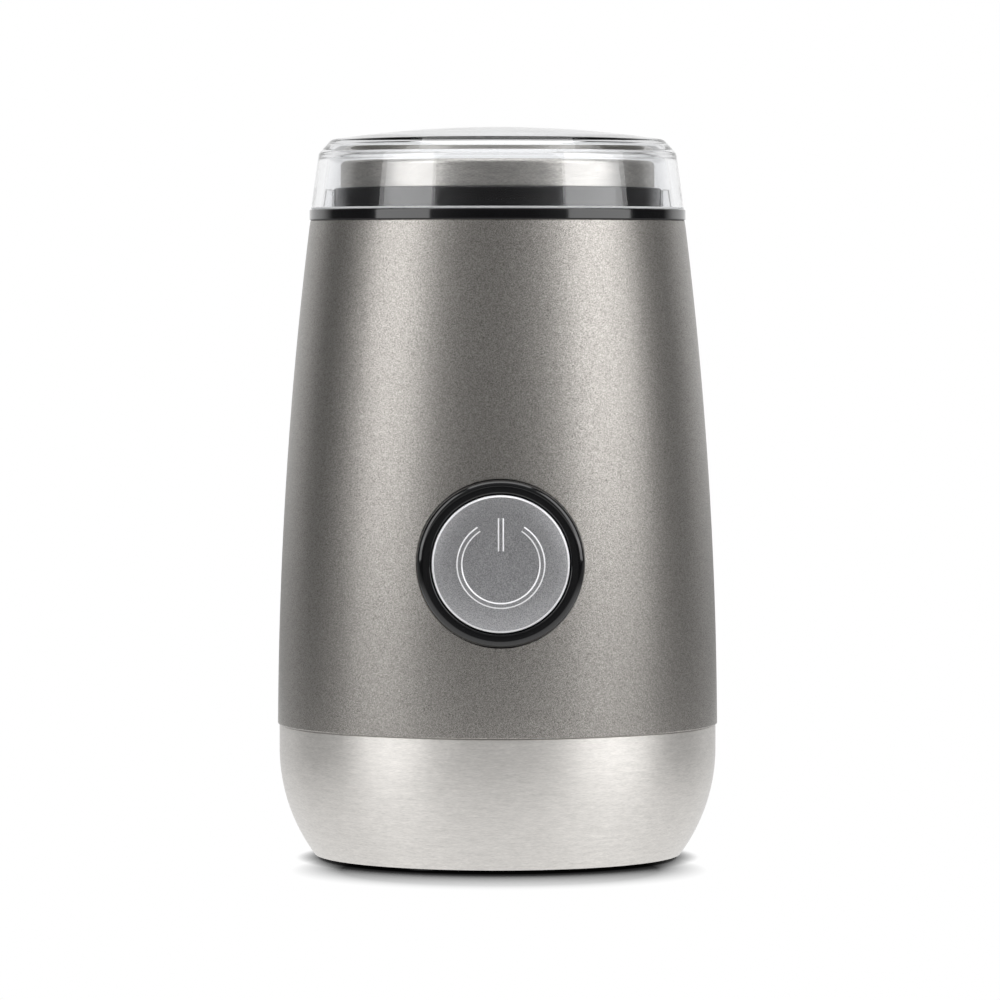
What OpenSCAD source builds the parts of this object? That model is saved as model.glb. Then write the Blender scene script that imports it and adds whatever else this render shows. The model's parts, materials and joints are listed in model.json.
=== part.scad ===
// Electric spice grinder: a blade mill with a push button in a round, tapered housing.
// Millimetres. +Z is up, the origin is the middle of the footprint at floor level,
// and the button looks along -Y.

/* [Housing] */
// Widest outer radius of the painted housing, just below its lower edge
housing_r = 53.9; // [52.5:0.1:57]
// Height of the painted housing
housing_h = 123.2; // [120:0.2:135]
// Wall of the housing
housing_wall = 2.4; // [1.6:0.1:2.8]
// Height of the locating spigot under the housing and of the lip under the top ring
spigot_h = 3; // [2:0.5:5]

/* [Base] */
// How far the rubber feet hold the base off the floor
foot_h = 1; // [0.6:0.1:2]
// Height of the steel base cover
base_h = 32; // [30:0.5:38]
// Step from the housing's surface in to the steel
base_step = 0.4; // [0:0.1:1]
// Radius of the rounded lower edge of the base cover
base_curve_r = 43.5; // [38:0.5:48]
// Thickness of the steel sheet
sheet = 0.8; // [0.5:0.1:1.2]
// Width of the turned-in rim under the base cover
base_rim_w = 4; // [3:0.2:4.6]
// Thickness of the base plate
plate_t = 3.2; // [2.4:0.2:4]
// Outer radius of each rubber foot
foot_r = 5; // [4:0.5:6]
// Distance of each foot from the middle
foot_place_r = 31; // [27:0.5:32]
// Thickness of each rubber foot
foot_t = 2.2; // [2.1:0.1:2.6]
// Number of vent slots
vent_count = 20; // [12:1:24]
// Width of a vent slot
vent_w = 2; // [1.4:0.1:2.6]
// Distance of the base screws from the middle
screw_place_r = 35.5; // [33:0.1:35.7]
// Height of the screw bosses in the housing
boss_h = 14; // [10:0.5:15]

/* [Top ring, bowl and lid] */
// Height of the black ring between housing and lid
ring_h = 2.6; // [2:0.2:4]
// Step from the housing's surface out to the black ring
ring_step = 0.2; // [0:0.1:0.5]
// Width of the ledge from the upstand out to the side of the black ring
ring_ledge_w = 5.8; // [5.2:0.1:8.5]
// Height of the black upstand inside the lid
upstand_h = 5.2; // [4.4:0.2:8]
// Wall of the upstand
upstand_wall = 2.9; // [2.4:0.1:3.1]
// Wall of the cup that carries the bowl
cup_wall = 1.6; // [1.2:0.1:1.7]
// Inner radius of the bowl
bowl_r = 36; // [34.5:0.1:36.4]
// Inner depth of the bowl
bowl_depth = 46.6; // [44.6:0.2:50.6]
// Inner radius of the curve at the bowl's floor
bowl_corner_r = 14; // [10:0.5:15]
// Height of the rolled rim of the bowl
bowl_rim_h = 6.6; // [5:0.2:7.4]
// Gap inside the rolled rim
bowl_rim_gap = 0.8; // [0.4:0.1:1]
// Rounding of the rim's outer shoulder
bowl_rim_round = 2; // [1.3:0.1:2.2]
// Overall height of the lid
lid_h = 20.2; // [19:0.1:22]
// Step from the black ring in to the lid
lid_step = 0.4; // [0.2:0.1:1]
// How far the lid's side leans in
lid_lean = 1.9; // [1:0.1:2]
// Height of the lid's side below its bevel
lid_side_h = 13.8; // [13:0.1:14]
// Size of the bevel round the lid's top
lid_bevel = 3.1; // [2:0.1:3.4]
// Radius of the lid's low dome
lid_dome_r = 268; // [200:1:400]
// Wall of the lid
lid_wall = 2.4; // [2:0.1:2.6]
// Width of each rib inside the lid
lid_rib_w = 4; // [3:0.2:6]

/* [Blade and shaft] */
// Radius of the motor shaft
shaft_r = 3; // [2.5:0.1:3.5]
// Length of the blade from the middle to a tip
blade_r = 28; // [22:0.5:28]
// Width of the blade
blade_w = 10; // [8:0.5:12]
// Thickness of the blade
blade_t = 1.5; // [1.2:0.1:2]
// Upward tilt of one blade arm and downward tilt of the other, in degrees
blade_tilt = 9; // [4:1:10]
// Width across the corners of the blade nut
nut_w = 11; // [10:0.5:13]
// Height of the hexagon of the blade nut
nut_h = 4; // [3:0.5:5]

/* [Motor] */
// Width of the stator stack, side to side
stator_w = 54; // [52:0.5:57]
// Depth of the stator stack, front to back
stator_d = 44; // [42:0.5:46]
// Height of the stator stack
stack_h = 20; // [16:1:24]
// Radius of the armature core
armature_r = 15.1; // [13.5:0.1:15.6]
// Gap between armature and stator
air_gap = 0.5; // [0.4:0.1:0.8]
// Thickness of the motor brackets
bracket_t = 3; // [2.4:0.2:4]
// Height of the legs between the stack and the upper bracket
upper_leg_h = 9.2; // [8.8:0.2:12]
// Height of the legs between the stack and the lower bracket
lower_leg_h = 27; // [26:0.5:29]
// Gap between the upper bracket and the wall that carries the interlock switch
bracket_gap = 2.7; // [2.1:0.1:3.7]
// Thickness of the rubber motor mounts
mount_t = 5; // [4.6:0.1:7]
// Distance of the motor mounts from the middle
mount_place_r = 27; // [26:0.2:28]
// Radius of the commutator
commutator_r = 9.5; // [8.5:0.1:10]
// Height of the commutator
commutator_h = 9; // [8:0.5:10]
// Number of armature slots
slot_count = 12; // [8:1:14]
// Radius of the cooling fan
fan_r = 25; // [20:0.5:28]
// Height of the cooling fan
fan_h = 8; // [6:0.5:9]
// Number of fan blades
fan_blades = 8; // [5:1:12]
// Side of a square carbon brush
brush_side = 6; // [5:0.2:6.6]
// Length of a carbon brush
brush_len = 12; // [8:0.5:13]
// Length of a brush spring
brush_spring_len = 7; // [5:0.5:8]

/* [Start button] */
// Height of the button's centre above the floor
button_z = 74.6; // [72:0.2:80]
// Radius of the button
button_r = 16.3; // [15:0.1:17]
// Width of the black ring round the button
bezel_w = 3.3; // [3:0.1:4]
// How far the black ring stands out of the housing
bezel_proud = 2; // [1.4:0.1:2.2]
// How far the button's edge stands in front of the ring
button_proud = 0.2; // [0:0.1:0.6]
// Rise of the button's face, flat in the middle and steeper towards the edge
button_dome = 1.6; // [0.8:0.1:1.8]
// Travel of the button
button_travel = 2.5; // [1.5:0.1:2.7]
// Outer radius of the raised sign on the button
sign_r = 10.4; // [8:0.1:12]
// Width of the sign's strokes
sign_w = 1.2; // [0.8:0.1:1.6]
// Height of the raised sign
sign_h = 0.3; // [0.2:0.1:0.5]
// Half of the sign's opening at its top, in degrees
sign_opening = 32; // [20:1:45]

/* [Lid interlock] */
// Radius of the interlock rod
rod_r = 1.5; // [1.2:0.1:1.6]
// How far the rod rises when the lid comes off
rod_travel = 3; // [2:0.1:3]

/* [Cord entry] */
// Height of the cord entry above the floor
cord_z = 14; // [13:0.5:17]
// Radius of the bore that the cord passes through
cord_bore_r = 3.3; // [3:0.1:3.8]
// Outer radius of the gland
gland_r = 5.6; // [5.2:0.1:6]

/* [Hidden] */

fine = 180;          // facets of large round pieces
small = 36;          // facets of small round pieces
cut = 1;             // overshoot of a cutting shape past the face it cuts
clear = 0.3;         // gap between pieces that move past each other
fit = 0.2;           // gap between pieces that are assembled
running = 0.05;      // radial gap of a shaft in its bearing
snug = 0.02;         // radial gap of a hub fixed on the shaft

paint_c = "#8d8a85";
steel_c = "#c9c6c2";
black_c = "#151517";
brass_c = "#b5954f";
copper_c = "#a8653a";
iron_c = "#70747a";
rubber_c = "#26262a";
nylon_c = "#dcd8cc";

// Heights, from the floor up
seam_z = foot_h + base_h;
housing_top_z = seam_z + housing_h;
lid_seat_z = housing_top_z + ring_h;
bowl_seat_z = lid_seat_z + upstand_h;
bowl_top_z = bowl_seat_z + bowl_rim_h;
bowl_floor_z = bowl_top_z - bowl_depth;
bowl_under_z = bowl_floor_z - sheet;
top_z = lid_seat_z + lid_h;

// Radii from the bowl out to the black ring and the housing's top edge
bowl_outer_r = bowl_r + sheet;
cup_gap = 0.5;
cup_r = bowl_outer_r + cup_gap;
cup_outer_r = cup_r + cup_wall;
upstand_r = cup_r + upstand_wall;
ring_r = upstand_r + ring_ledge_w;
housing_top_r = ring_r - ring_step;

// Side of the housing: an arc, vertical just below the steel seam
bulge_drop = 6.5;
bulge_z = seam_z - bulge_drop;
bulge_rise = housing_top_z - bulge_z;
bulge_in = housing_r - housing_top_r;
bulge_r = (bulge_rise * bulge_rise + bulge_in * bulge_in) / (2 * bulge_in);
function housing_r_at(z) =
    housing_r - bulge_r + sqrt(bulge_r * bulge_r - (z - bulge_z) * (z - bulge_z));
function housing_inner_r_at(z) = housing_r_at(z) - housing_wall;
inner_top_r = housing_inner_r_at(housing_top_z);

// Side of the base cover: upright, then one arc in to the rim
base_r = housing_r_at(seam_z) - base_step;
base_arc_drop = 6;
base_arc_z = seam_z - base_arc_drop;
base_arc_x = base_r - base_curve_r;
spigot_r = base_r - sheet - fit;
spigot_wall = 1.92;
function base_r_at(z) = z > base_arc_z ? base_r
    : base_arc_x + sqrt(base_curve_r * base_curve_r - (base_arc_z - z) * (base_arc_z - z));
function base_inner_r_at(z) = z > base_arc_z ? base_r - sheet
    : base_arc_x + sqrt((base_curve_r - sheet) * (base_curve_r - sheet)
                        - (base_arc_z - z) * (base_arc_z - z));
plate_seat_z = foot_h + sheet;
base_hole_r = base_r_at(foot_h) - base_rim_w;
plate_r = base_hole_r - fit;
plate_top_z = foot_h + plate_t;
plate_flange_r = base_inner_r_at(plate_seat_z) - 2 * fit;

// Feet and vents
foot_angles = [60, 180, 300];
foot_edge = 0.6;
vent_start = 9;
vent_margin = 3;
vent_len = foot_place_r - foot_r - fit - vent_start - vent_margin;

// Base screws
screw_angles = [0, 120, 240];
screw_r = 1.75;
screw_head_r = 3.2;
screw_head_h = 2.4;
column_r = 4.4;
column_len = 8;
column_floor_z = seam_z - spigot_h - column_len;
boss_r = 4;
web_t = 2.4;
web_drop = 4;
screw_end_wall = 2;
screw_end_gap = 5;

// Rim, gasket and floor of the cup
rim_r = bowl_outer_r + bowl_rim_gap + sheet;
gasket_t = 1.5;
gasket_r = 15;
cup_floor_t = 3.5;
cup_floor_top_z = bowl_under_z - gasket_t;
cup_floor_z = cup_floor_top_z - cup_floor_t;
lip_r = inner_top_r - fit;
lip_wall = 1.6;

// Shaft passage through the bowl
bush_wall = 2;
bush_r = shaft_r + running + bush_wall;
tower_wall = 3;
tower_r = bush_r + tower_wall;
tower_h = 3;
tower_top_z = bowl_floor_z + tower_h;
seal_t = 1.5;
seal_wall = 1.6;
seal_top_z = tower_top_z + seal_t;
spacer_h = 2;
spacer_wall = 2.4;
spacer_gap = 0.5;
blade_z = seal_top_z + spacer_gap + spacer_h;
nut_z = blade_z + blade_t;
blade_root = 12;
tip_cut = 3;
tip_blunt = 1;
blade_hub_r = blade_w * 0.62;
nut_collar_w = 1.6;
nut_collar_h = 0.4;
nut_dome_r = nut_w * 0.42;
nut_dome_h = nut_w * 0.3;

// Motor, hung under the cup
bracket_top_z = cup_floor_z - mount_t;
bracket_z = bracket_top_z - bracket_t;
stack_top_z = bracket_z - upper_leg_h;
stack_z = stack_top_z - stack_h;
lower_top_z = stack_z - lower_leg_h;
lower_z = lower_top_z - bracket_t;
fan_gap = 2;
fan_top_z = lower_z - fan_gap;
fan_z = fan_top_z - fan_h;
fan_hub_r = 7;
fan_disc_t = 1.6;
fan_blade_t = 1.4;
fan_blade_inset = 0.5;
shaft_tail = 2;
shaft_z = fan_z - shaft_tail;
mount_r = 5;
mount_screw_r = 1.9;
mount_head_r = 3.4;
mount_head_h = 2;
bearing_r = 7;
bearing_h = 8;
bearing_wall = 2.4;
bearing_cup_r = bearing_r + bearing_wall;
bearing_lip = 1;
bearing_cup_h = bearing_h / 2 - bearing_lip;
bearing_ledge = 1.4;
retainer_r = sqrt(bearing_r * bearing_r - bearing_cup_h * bearing_cup_h) + fit;
retainer_ring_t = 0.6;
upper_bearing_z = bracket_top_z;
lower_bearing_z = lower_top_z;
bolt_r = 1.9;
bolt_head_h = 1.8;
leg_r = 3.2;
bolt_inset = 3.5;
bolt_x = stator_w / 2 - bolt_inset;
bolt_y = stator_d / 2 - bolt_inset;
// The coils' windows lie between the bore and the bracket legs
pole_side = 1.9;
pole_tip = 6.1;
window_x = armature_r + air_gap - pole_side;
window_w = 3.9;
window_y = armature_r + air_gap - pole_tip;
window_gap = 0.4;
window_h = bolt_y - window_y - window_gap;
// The motor mounts sit inside the stator bolts, side to side
mount_inset = 4.4;
mount_angle = acos((bolt_x - mount_inset) / mount_place_r);
mount_angles = [mount_angle, 180 - mount_angle, 180 + mount_angle, 360 - mount_angle];
bracket_hole_r = 6;
bracket_hole_place_r = 20;
lower_hole_r = 3;
lower_hole_y = 16;
bracket_edge = 1;
coil_turn = 5.6;
winding_turn = 4.8;
winding_inner_gap = 1;
winding_round = 1.92;
slot_r = 1.7;
slot_wall = 1.2;
slot_place_r = armature_r - slot_r - slot_wall;
slot_mouth_w = 1.2;
winding_w = slot_place_r + slot_r - shaft_r - 2 * winding_inner_gap;
wire_gap = 0.3;
slit_w = 0.5;
slit_depth = 0.7;
riser_w = 1.4;
riser_h = 1.6;
commutator_gap = 2;
commutator_z = lower_bearing_z + bearing_h / 2 + commutator_gap;
brush_z = commutator_z + commutator_h / 2;
brush_x = commutator_r + running;
brush_back_x = brush_x + brush_len;
holder_wall = 1.2;
brush_reach = 3;
holder_x = brush_x + brush_reach;
holder_end_x = brush_back_x + brush_spring_len;
holder_side = brush_side + 2 * (fit + holder_wall);
brush_spring_gap = 0.4;
brush_spring_r = brush_side / 2 - brush_spring_gap;
brush_spring_wire_r = 0.3;
holder_leg_x = bearing_cup_r + 2.5;

// Start button, along -Y
surface_y = -housing_r_at(button_z);
face_y = surface_y - bezel_proud;
button_edge_y = face_y - button_proud;
button_cap_t = 3;
bezel_bore_r = button_r + clear;
bezel_r = button_r + clear + bezel_w;
bezel_flange = 1.4;
bezel_tube_r = bezel_bore_r + bezel_w - bezel_flange;
bezel_edge_round = 2;
bezel_seat_depth = 4.6;
bezel_seat_y = surface_y + bezel_seat_depth;
bezel_depth = 9.2;
bezel_back_y = surface_y + bezel_depth;
retainer_h = 3.2;
retainer_y = bezel_back_y - retainer_h;
retainer_step = 0.8;
well_wall = 2.2;
well_r = bezel_r + well_wall;
well_floor_t = 3.2;
well_back_y = bezel_seat_y + well_floor_t;
skirt_wall = 1.7;
skirt_inset = 1.4;
skirt_back_y = bezel_back_y - skirt_inset;
retainer_t = 1.2;
stem_r = 3;
bracket_depth = 15.2;
bracket_front_y = surface_y + bracket_depth;
bracket_plate_t = 2;
stem_past = 0.8;
stem_back_y = bracket_front_y + stem_past;
face_power = 4;
face_steps = 16;
bracket_half_w = 28;
bracket_screw_x = 24.6;
bracket_half_h = 7;
bracket_boss_r = 3.1;
bracket_boss_len = 12;
bracket_hole_len = 6;
switch_shelf_t = 2.4;
peg_gap = 0.1;
switch_screw_r = 1.3;
switch_screw_head_r = 2.5;
switch_screw_head_h = 1.8;
switch_screw_bite = 5;
button_spring_gap = 1.6;
button_wire_r = 0.4;
sign_bar_low = sign_r * 0.3;
sign_bar_len = sign_r * 0.8;

// Microswitches
switch_len = 20;
switch_t = 6.4;
switch_h = 10.2;
switch_hole_x = 4.75;
switch_hole_drop = 7.3;
switch_hole_r = 1.25;
plunger_r = 1.2;
plunger_len = 6;
tab_len = 3.8;
tab_w = 3;
tab_t = 0.6;
tab_x = 7.8;
plunger_gap = 0.4;
plunger_end_gap = 0.5;
switch_front_y = stem_back_y + button_travel + plunger_gap;

// Lid interlock, on the +X side
rod_gap = 0.5;
rod_x = cup_outer_r + rod_r + rod_gap;
rod_clear = 0.25;
rod_hole_r = rod_r + rod_clear;
rod_drop = 0.4;
rod_top_z = housing_top_z - rod_drop;
rod_boss_wall = 1.5;
rod_boss_h = 9;
rod_flange_r = 2.7;
rod_flange_t = 1.2;
rod_plate_t = 2;
rod_plate_z = cup_floor_z - rod_plate_t;
rod_flange_z = rod_plate_z - rod_travel - rod_flange_t - rod_gap;
rod_spring_len = 8;
rod_shelf_t = 1.5;
rod_shelf_z = rod_flange_z - rod_spring_len - rod_shelf_t;
rod_foot = 0.6;
rod_z = rod_shelf_z - rod_foot;
rod_switch_z = rod_z - rod_foot;
rod_spring_gap = 0.8;
rod_wire_r = 0.3;
rod_wall_x = rod_x - switch_t / 2 - fit;
rod_wall_t = 1.8;
bracket_r = rod_wall_x - rod_wall_t - bracket_gap;
rod_bracket_half_w = 8;
rod_screw_head_r = 2.3;
rod_screw_head_h = 1.6;
rod_screw_end_wall = 0.5;
rod_screw_end_gap = 1;
rod_plate_edge = 3;
rod_shelf_edge = 3.4;
rod_screw_x = rod_wall_x - rod_wall_t - rod_screw_head_r - clear;
rod_screw_y = 5;
lid_rib_top_z = bowl_seat_z;
peg_root = 2;

// Cord entry, on the +Y side
gland_proud = 4;
gland_y = base_r_at(cord_z) + gland_proud;
gland_inner_len = 13.5;
gland_len = gland_inner_len + gland_proud;
gland_back_y = gland_y - gland_len;
gland_tail = 5;
gland_collar = 2;
gland_collar_r = gland_r + gland_collar;
gland_collar_t = 2.5;
saddle_t = 3;
saddle_edge = 2;
clamp_gap = 8;
clamp_half_d = 3;
clamp_y = gland_back_y - saddle_t - clamp_gap;
clamp_post_x = 9;
clamp_post_r = 3.4;
clamp_screw_r = 1.4;
clamp_t = 4;
clamp_pinch = 0.4;
clamp_screw_head_r = 2.7;
clamp_screw_head_h = 1.8;
clamp_screw_end_gap = 1;
cord_gap = 0.8;

// Parts on the base plate
block_w = 20;
block_edge_gap = 8.7;
block_x = block_w / 2 + block_edge_gap - plate_r;
block_y = 12;
block_d = 9;
block_h = 9;
block_pitch = 6;
block_floor = 3;
block_hole_r = 1.8;
capacitor_w = 14;
capacitor_gap = 3.1;
capacitor_x = screw_place_r - column_r - capacitor_gap - capacitor_w / 2;
capacitor_y = 6;
capacitor_d = 9;
capacitor_h = 16;
cutout_y = 17;
cutout_w = 9;
cutout_d = 5;
cutout_h = 4;
lead_r = 0.9;
lead_elbow = 0.12;
lead_gap = 4;
lead_drop = 4.5;
lead_dip = 3;

// ---------------------------------------------------------------- shared shapes

// A tube or a disc
module ring(outer, inner, low, high, facets = fine) {
    translate([0, 0, low]) difference() {
        cylinder(r = outer, h = high - low, $fn = facets);
        translate([0, 0, -cut])
            cylinder(r = inner, h = high - low + 2 * cut, $fn = facets);
    }
}

// A box given by its two corners
module box(low, high) {
    translate(low) cube(high - low);
}

// Copies at places on a circle
module around(angles, place_r) {
    for (a = angles)
        rotate([0, 0, a]) translate([place_r, 0, 0]) children();
}

// Four copies, one in each quarter
module quarters(x, y) {
    for (sx = [-1, 1], sy = [-1, 1])
        translate([sx * x, sy * y, 0]) children();
}

// Turns +Z to -Y: a piece drawn from z = 0 up then points out of the front
module to_front(y, z) {
    translate([0, y, z]) rotate([90, 0, 0]) children();
}

spring_turns = 5;

// A close-wound spring from z = 0 up, swept as a thin tube
module spring(coil_r, wire_r, length, turns) {
    sides = 6;
    steps = 14;
    rings = turns * steps;
    pitch = (length - 2 * wire_r) / turns;
    function wire(i, k) = let (a = 360 * i / steps, b = 360 * k / sides,
                               d = coil_r + wire_r * cos(b))
        [d * cos(a), d * sin(a), wire_r + pitch * i / steps + wire_r * sin(b)];
    points = [for (i = [0:rings], k = [0:sides - 1]) wire(i, k)];
    skin = [for (i = [0:rings - 1], k = [0:sides - 1])
        [i * sides + k, i * sides + (k + 1) % sides,
         (i + 1) * sides + (k + 1) % sides, (i + 1) * sides + k]];
    start = [[for (k = [sides - 1:-1:0]) k]];
    end = [[for (k = [0:sides - 1]) rings * sides + k]];
    polyhedron(points, concat(start, skin, end));
}

// A pan-head screw: head on top of z = 0, shank below; its cross slot as shares of the head
slot_len = 0.6;
slot_half_w = 0.12;
module screw(r, head_r, head_h, length) {
    difference() {
        union() {
            cylinder(r = head_r, h = head_h, $fn = small);
            translate([0, 0, -length]) cylinder(r = r, h = length + cut, $fn = small);
        }
        for (a = [0, 90]) rotate([0, 0, a])
            translate([-head_r * slot_len, -head_r * slot_half_w, head_h * 0.5])
                cube([2 * head_r * slot_len, 2 * head_r * slot_half_w, head_h]);
    }
}

// A microswitch with its plunger side at z = 0, its length along X
module micro_switch() {
    difference() {
        box([-switch_len / 2, -switch_t / 2, -switch_h], [switch_len / 2, switch_t / 2, 0]);
        translate([0, 0, -plunger_len - plunger_end_gap])
            cylinder(r = plunger_r + fit, h = plunger_len + plunger_end_gap + cut,
                     $fn = small);
        for (s = [-1, 1]) translate([s * switch_hole_x, 0, -switch_hole_drop])
            rotate([90, 0, 0])
                cylinder(r = switch_hole_r, h = switch_t + 2 * cut, center = true, $fn = small);
    }
    for (s = [-1, 0, 1])
        box([s * tab_x - tab_t / 2, -tab_w / 2, -switch_h - tab_len],
            [s * tab_x + tab_t / 2, tab_w / 2, -switch_h + cut]);
}

// ---------------------------------------------------------------- housing and base

module housing_section(inset, low, high) {
    intersection() {
        translate([housing_r - bulge_r, bulge_z]) circle(r = bulge_r - inset, $fn = 1440);
        translate([0, low]) square([housing_r + cut, high - low]);
    }
}

module housing_solid(inset, low, high) {
    rotate_extrude($fn = fine) housing_section(inset, low, high);
}

module housing() color(paint_c) {
    well_depth = well_back_y - face_y + cut;
    difference() {
        union() {
            rotate_extrude($fn = fine) difference() {
                housing_section(0, seam_z, housing_top_z);
                housing_section(housing_wall, seam_z - cut, housing_top_z + cut);
            }
            // spigot inside the base cover
            ring(spigot_r, spigot_r - spigot_wall,
                 seam_z - spigot_h, seam_z + cut);
            // well round the button
            intersection() {
                housing_solid(housing_wall / 2, seam_z, housing_top_z);
                to_front(well_back_y, button_z)
                    cylinder(r = well_r, h = well_depth, $fn = fine);
            }
            // screw bosses, webbed to the wall
            intersection() {
                housing_solid(housing_wall / 2, seam_z, seam_z + boss_h);
                around(screw_angles, 0) {
                    box([screw_place_r, -web_t / 2, seam_z],
                        [housing_r, web_t / 2, seam_z + boss_h - web_drop]);
                    translate([screw_place_r, 0, seam_z])
                        cylinder(r = boss_r, h = boss_h, $fn = small);
                }
            }
            around(screw_angles, screw_place_r)
                translate([0, 0, seam_z - spigot_h])
                    cylinder(r = boss_r, h = spigot_h + cut, $fn = small);
            // bosses for the switch bracket
            intersection() {
                housing_solid(housing_wall / 2, seam_z, housing_top_z);
                for (s = [-1, 1]) to_front(bracket_front_y, button_z)
                    translate([s * bracket_screw_x, 0, 0])
                        cylinder(r = bracket_boss_r, h = bracket_boss_len, $fn = small);
            }
        }
        // pocket and hole for the button ring
        to_front(bezel_seat_y, button_z)
            cylinder(r = bezel_r + fit, h = well_depth, $fn = fine);
        to_front(bracket_front_y, button_z)
            cylinder(r = bezel_tube_r + fit, h = bracket_front_y - face_y + cut, $fn = fine);
        // screw holes
        around(screw_angles, screw_place_r)
            translate([0, 0, seam_z - spigot_h - cut])
                cylinder(r = screw_r + running, h = spigot_h + boss_h - screw_end_wall + cut,
                         $fn = small);
        for (s = [-1, 1]) to_front(bracket_front_y + cut, button_z)
            translate([s * bracket_screw_x, 0, 0])
                cylinder(r = switch_screw_r + running, h = bracket_hole_len + cut, $fn = small);
    }
}

module base_section(inset, low) {
    difference() {
        union() {
            translate([base_arc_x, base_arc_z]) circle(r = base_curve_r - inset, $fn = 720);
            translate([0, base_arc_z]) square([base_r - inset, base_curve_r]);
        }
        translate([-base_curve_r, base_arc_z - base_curve_r - cut])
            square([base_curve_r, 3 * base_curve_r]);
        translate([-cut, base_arc_z - base_curve_r - 2 * cut])
            square([base_r + 3 * cut, low - base_arc_z + base_curve_r + 2 * cut]);
        translate([-cut, seam_z + (inset > 0 ? cut : 0)])
            square([base_r + 3 * cut, 2 * base_curve_r]);
    }
}

module base_cover() color(steel_c) difference() {
    rotate_extrude($fn = fine) difference() {
        base_section(0, foot_h);
        base_section(sheet, plate_seat_z);
        translate([-cut, foot_h - cut]) square([base_hole_r + cut, sheet + 2 * cut]);
    }
    translate([0, gland_back_y, cord_z]) rotate([-90, 0, 0])
        cylinder(r = gland_r + fit, h = gland_len + cut, $fn = small);
}

module base_plate() color(black_c) difference() {
    union() {
        translate([0, 0, foot_h]) cylinder(r = plate_r, h = plate_t, $fn = fine);
        translate([0, 0, plate_seat_z])
            cylinder(r = plate_flange_r, h = plate_top_z - plate_seat_z, $fn = fine);
        intersection() {
            around(screw_angles, screw_place_r)
                translate([0, 0, foot_h])
                    cylinder(r = column_r, h = seam_z - spigot_h - foot_h, $fn = small);
            union() {
                cylinder(r = plate_r, h = plate_top_z, $fn = fine);
                translate([0, 0, plate_seat_z])
                    cylinder(r = plate_flange_r, h = seam_z, $fn = fine);
            }
        }
        // saddle for the gland, saddle and posts for the cord clamp
        box([-gland_collar_r - saddle_edge, gland_back_y - saddle_t, plate_seat_z],
            [gland_collar_r + saddle_edge, gland_back_y, cord_z]);
        box([-clamp_post_x, clamp_y - clamp_half_d, plate_seat_z],
            [clamp_post_x, clamp_y + clamp_half_d, cord_z - cord_bore_r - cord_gap]);
        for (s = [-1, 1]) translate([s * clamp_post_x, clamp_y, plate_seat_z])
            cylinder(r = clamp_post_r, h = cord_z - plate_seat_z, $fn = small);
    }
    // feet recesses, vents, screw passages, clamp screw holes, cord path
    around(foot_angles, foot_place_r)
        translate([0, 0, -cut]) cylinder(r = foot_r + fit, h = foot_t + cut, $fn = small);
    around([for (i = [0:vent_count - 1]) 360 * i / vent_count], vent_start)
        box([0, -vent_w / 2, 0], [vent_len, vent_w / 2, plate_top_z + cut]);
    around(screw_angles, screw_place_r) {
        translate([0, 0, -cut])
            cylinder(r = screw_head_r + fit, h = column_floor_z + cut, $fn = small);
        translate([0, 0, column_floor_z - cut])
            cylinder(r = screw_r + fit, h = seam_z, $fn = small);
    }
    for (s = [-1, 1]) translate([s * clamp_post_x, clamp_y, plate_top_z])
        cylinder(r = clamp_screw_r + running, h = cord_z, $fn = small);
    translate([0, gland_back_y - saddle_t - cut, cord_z]) rotate([-90, 0, 0])
        cylinder(r = gland_r + fit, h = saddle_t + 2 * cut, $fn = small);
}

module base_screws() color(steel_c)
    around(screw_angles, screw_place_r)
        translate([0, 0, column_floor_z]) mirror([0, 0, 1])
            screw(screw_r, screw_head_r, screw_head_h,
                  seam_z - column_floor_z + boss_h - screw_end_gap);

module rubber_feet() color(rubber_c)
    around(foot_angles, foot_place_r) {
        cylinder(r1 = foot_r - foot_edge, r2 = foot_r, h = foot_edge, $fn = small);
        translate([0, 0, foot_edge]) cylinder(r = foot_r, h = foot_t - foot_edge, $fn = small);
    }

// ---------------------------------------------------------------- top ring, bowl, lid

module top_collar() color(black_c) difference() {
    union() {
        ring(ring_r, cup_r, housing_top_z, lid_seat_z);
        ring(upstand_r, cup_r, lid_seat_z - cut, bowl_seat_z);
        ring(cup_outer_r, cup_r, cup_floor_z, lid_seat_z);
        ring(lip_r, lip_r - lip_wall, housing_top_z - spigot_h, housing_top_z + cut);
        translate([0, 0, cup_floor_z])
            cylinder(r = cup_outer_r, h = cup_floor_t, $fn = fine);
        // tower round the shaft
        translate([0, 0, cup_floor_z])
            cylinder(r = tower_r, h = tower_top_z - cup_floor_z, $fn = small * 2);
        // guide for the interlock rod
        intersection() {
            translate([rod_x, 0, housing_top_z - rod_boss_h])
                cylinder(r = rod_hole_r + rod_boss_wall, h = rod_boss_h + cut, $fn = small);
            ring(lip_r, cup_r + cup_wall / 2, housing_top_z - rod_boss_h - cut, lid_seat_z);
        }
    }
    translate([0, 0, cup_floor_z - cut])
        cylinder(r = bush_r + running, h = tower_top_z, $fn = small * 2);
    around(mount_angles, mount_place_r) {
        translate([0, 0, cup_floor_z - cut])
            cylinder(r = mount_screw_r + fit, h = cup_floor_t + 2 * cut, $fn = small);
        translate([0, 0, cup_floor_top_z - mount_head_h + gasket_t / 2])
            cylinder(r = mount_head_r + fit, h = cup_floor_t, $fn = small);
    }
    translate([rod_x, 0, housing_top_z - rod_boss_h - cut])
        cylinder(r = rod_hole_r, h = rod_boss_h + ring_h + 2 * cut, $fn = small);
    for (s = [-1, 1]) translate([rod_screw_x, s * rod_screw_y, cup_floor_z - cut])
        cylinder(r = switch_screw_r + running, h = cup_floor_t - rod_screw_end_wall + cut,
                 $fn = small);
}

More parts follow.
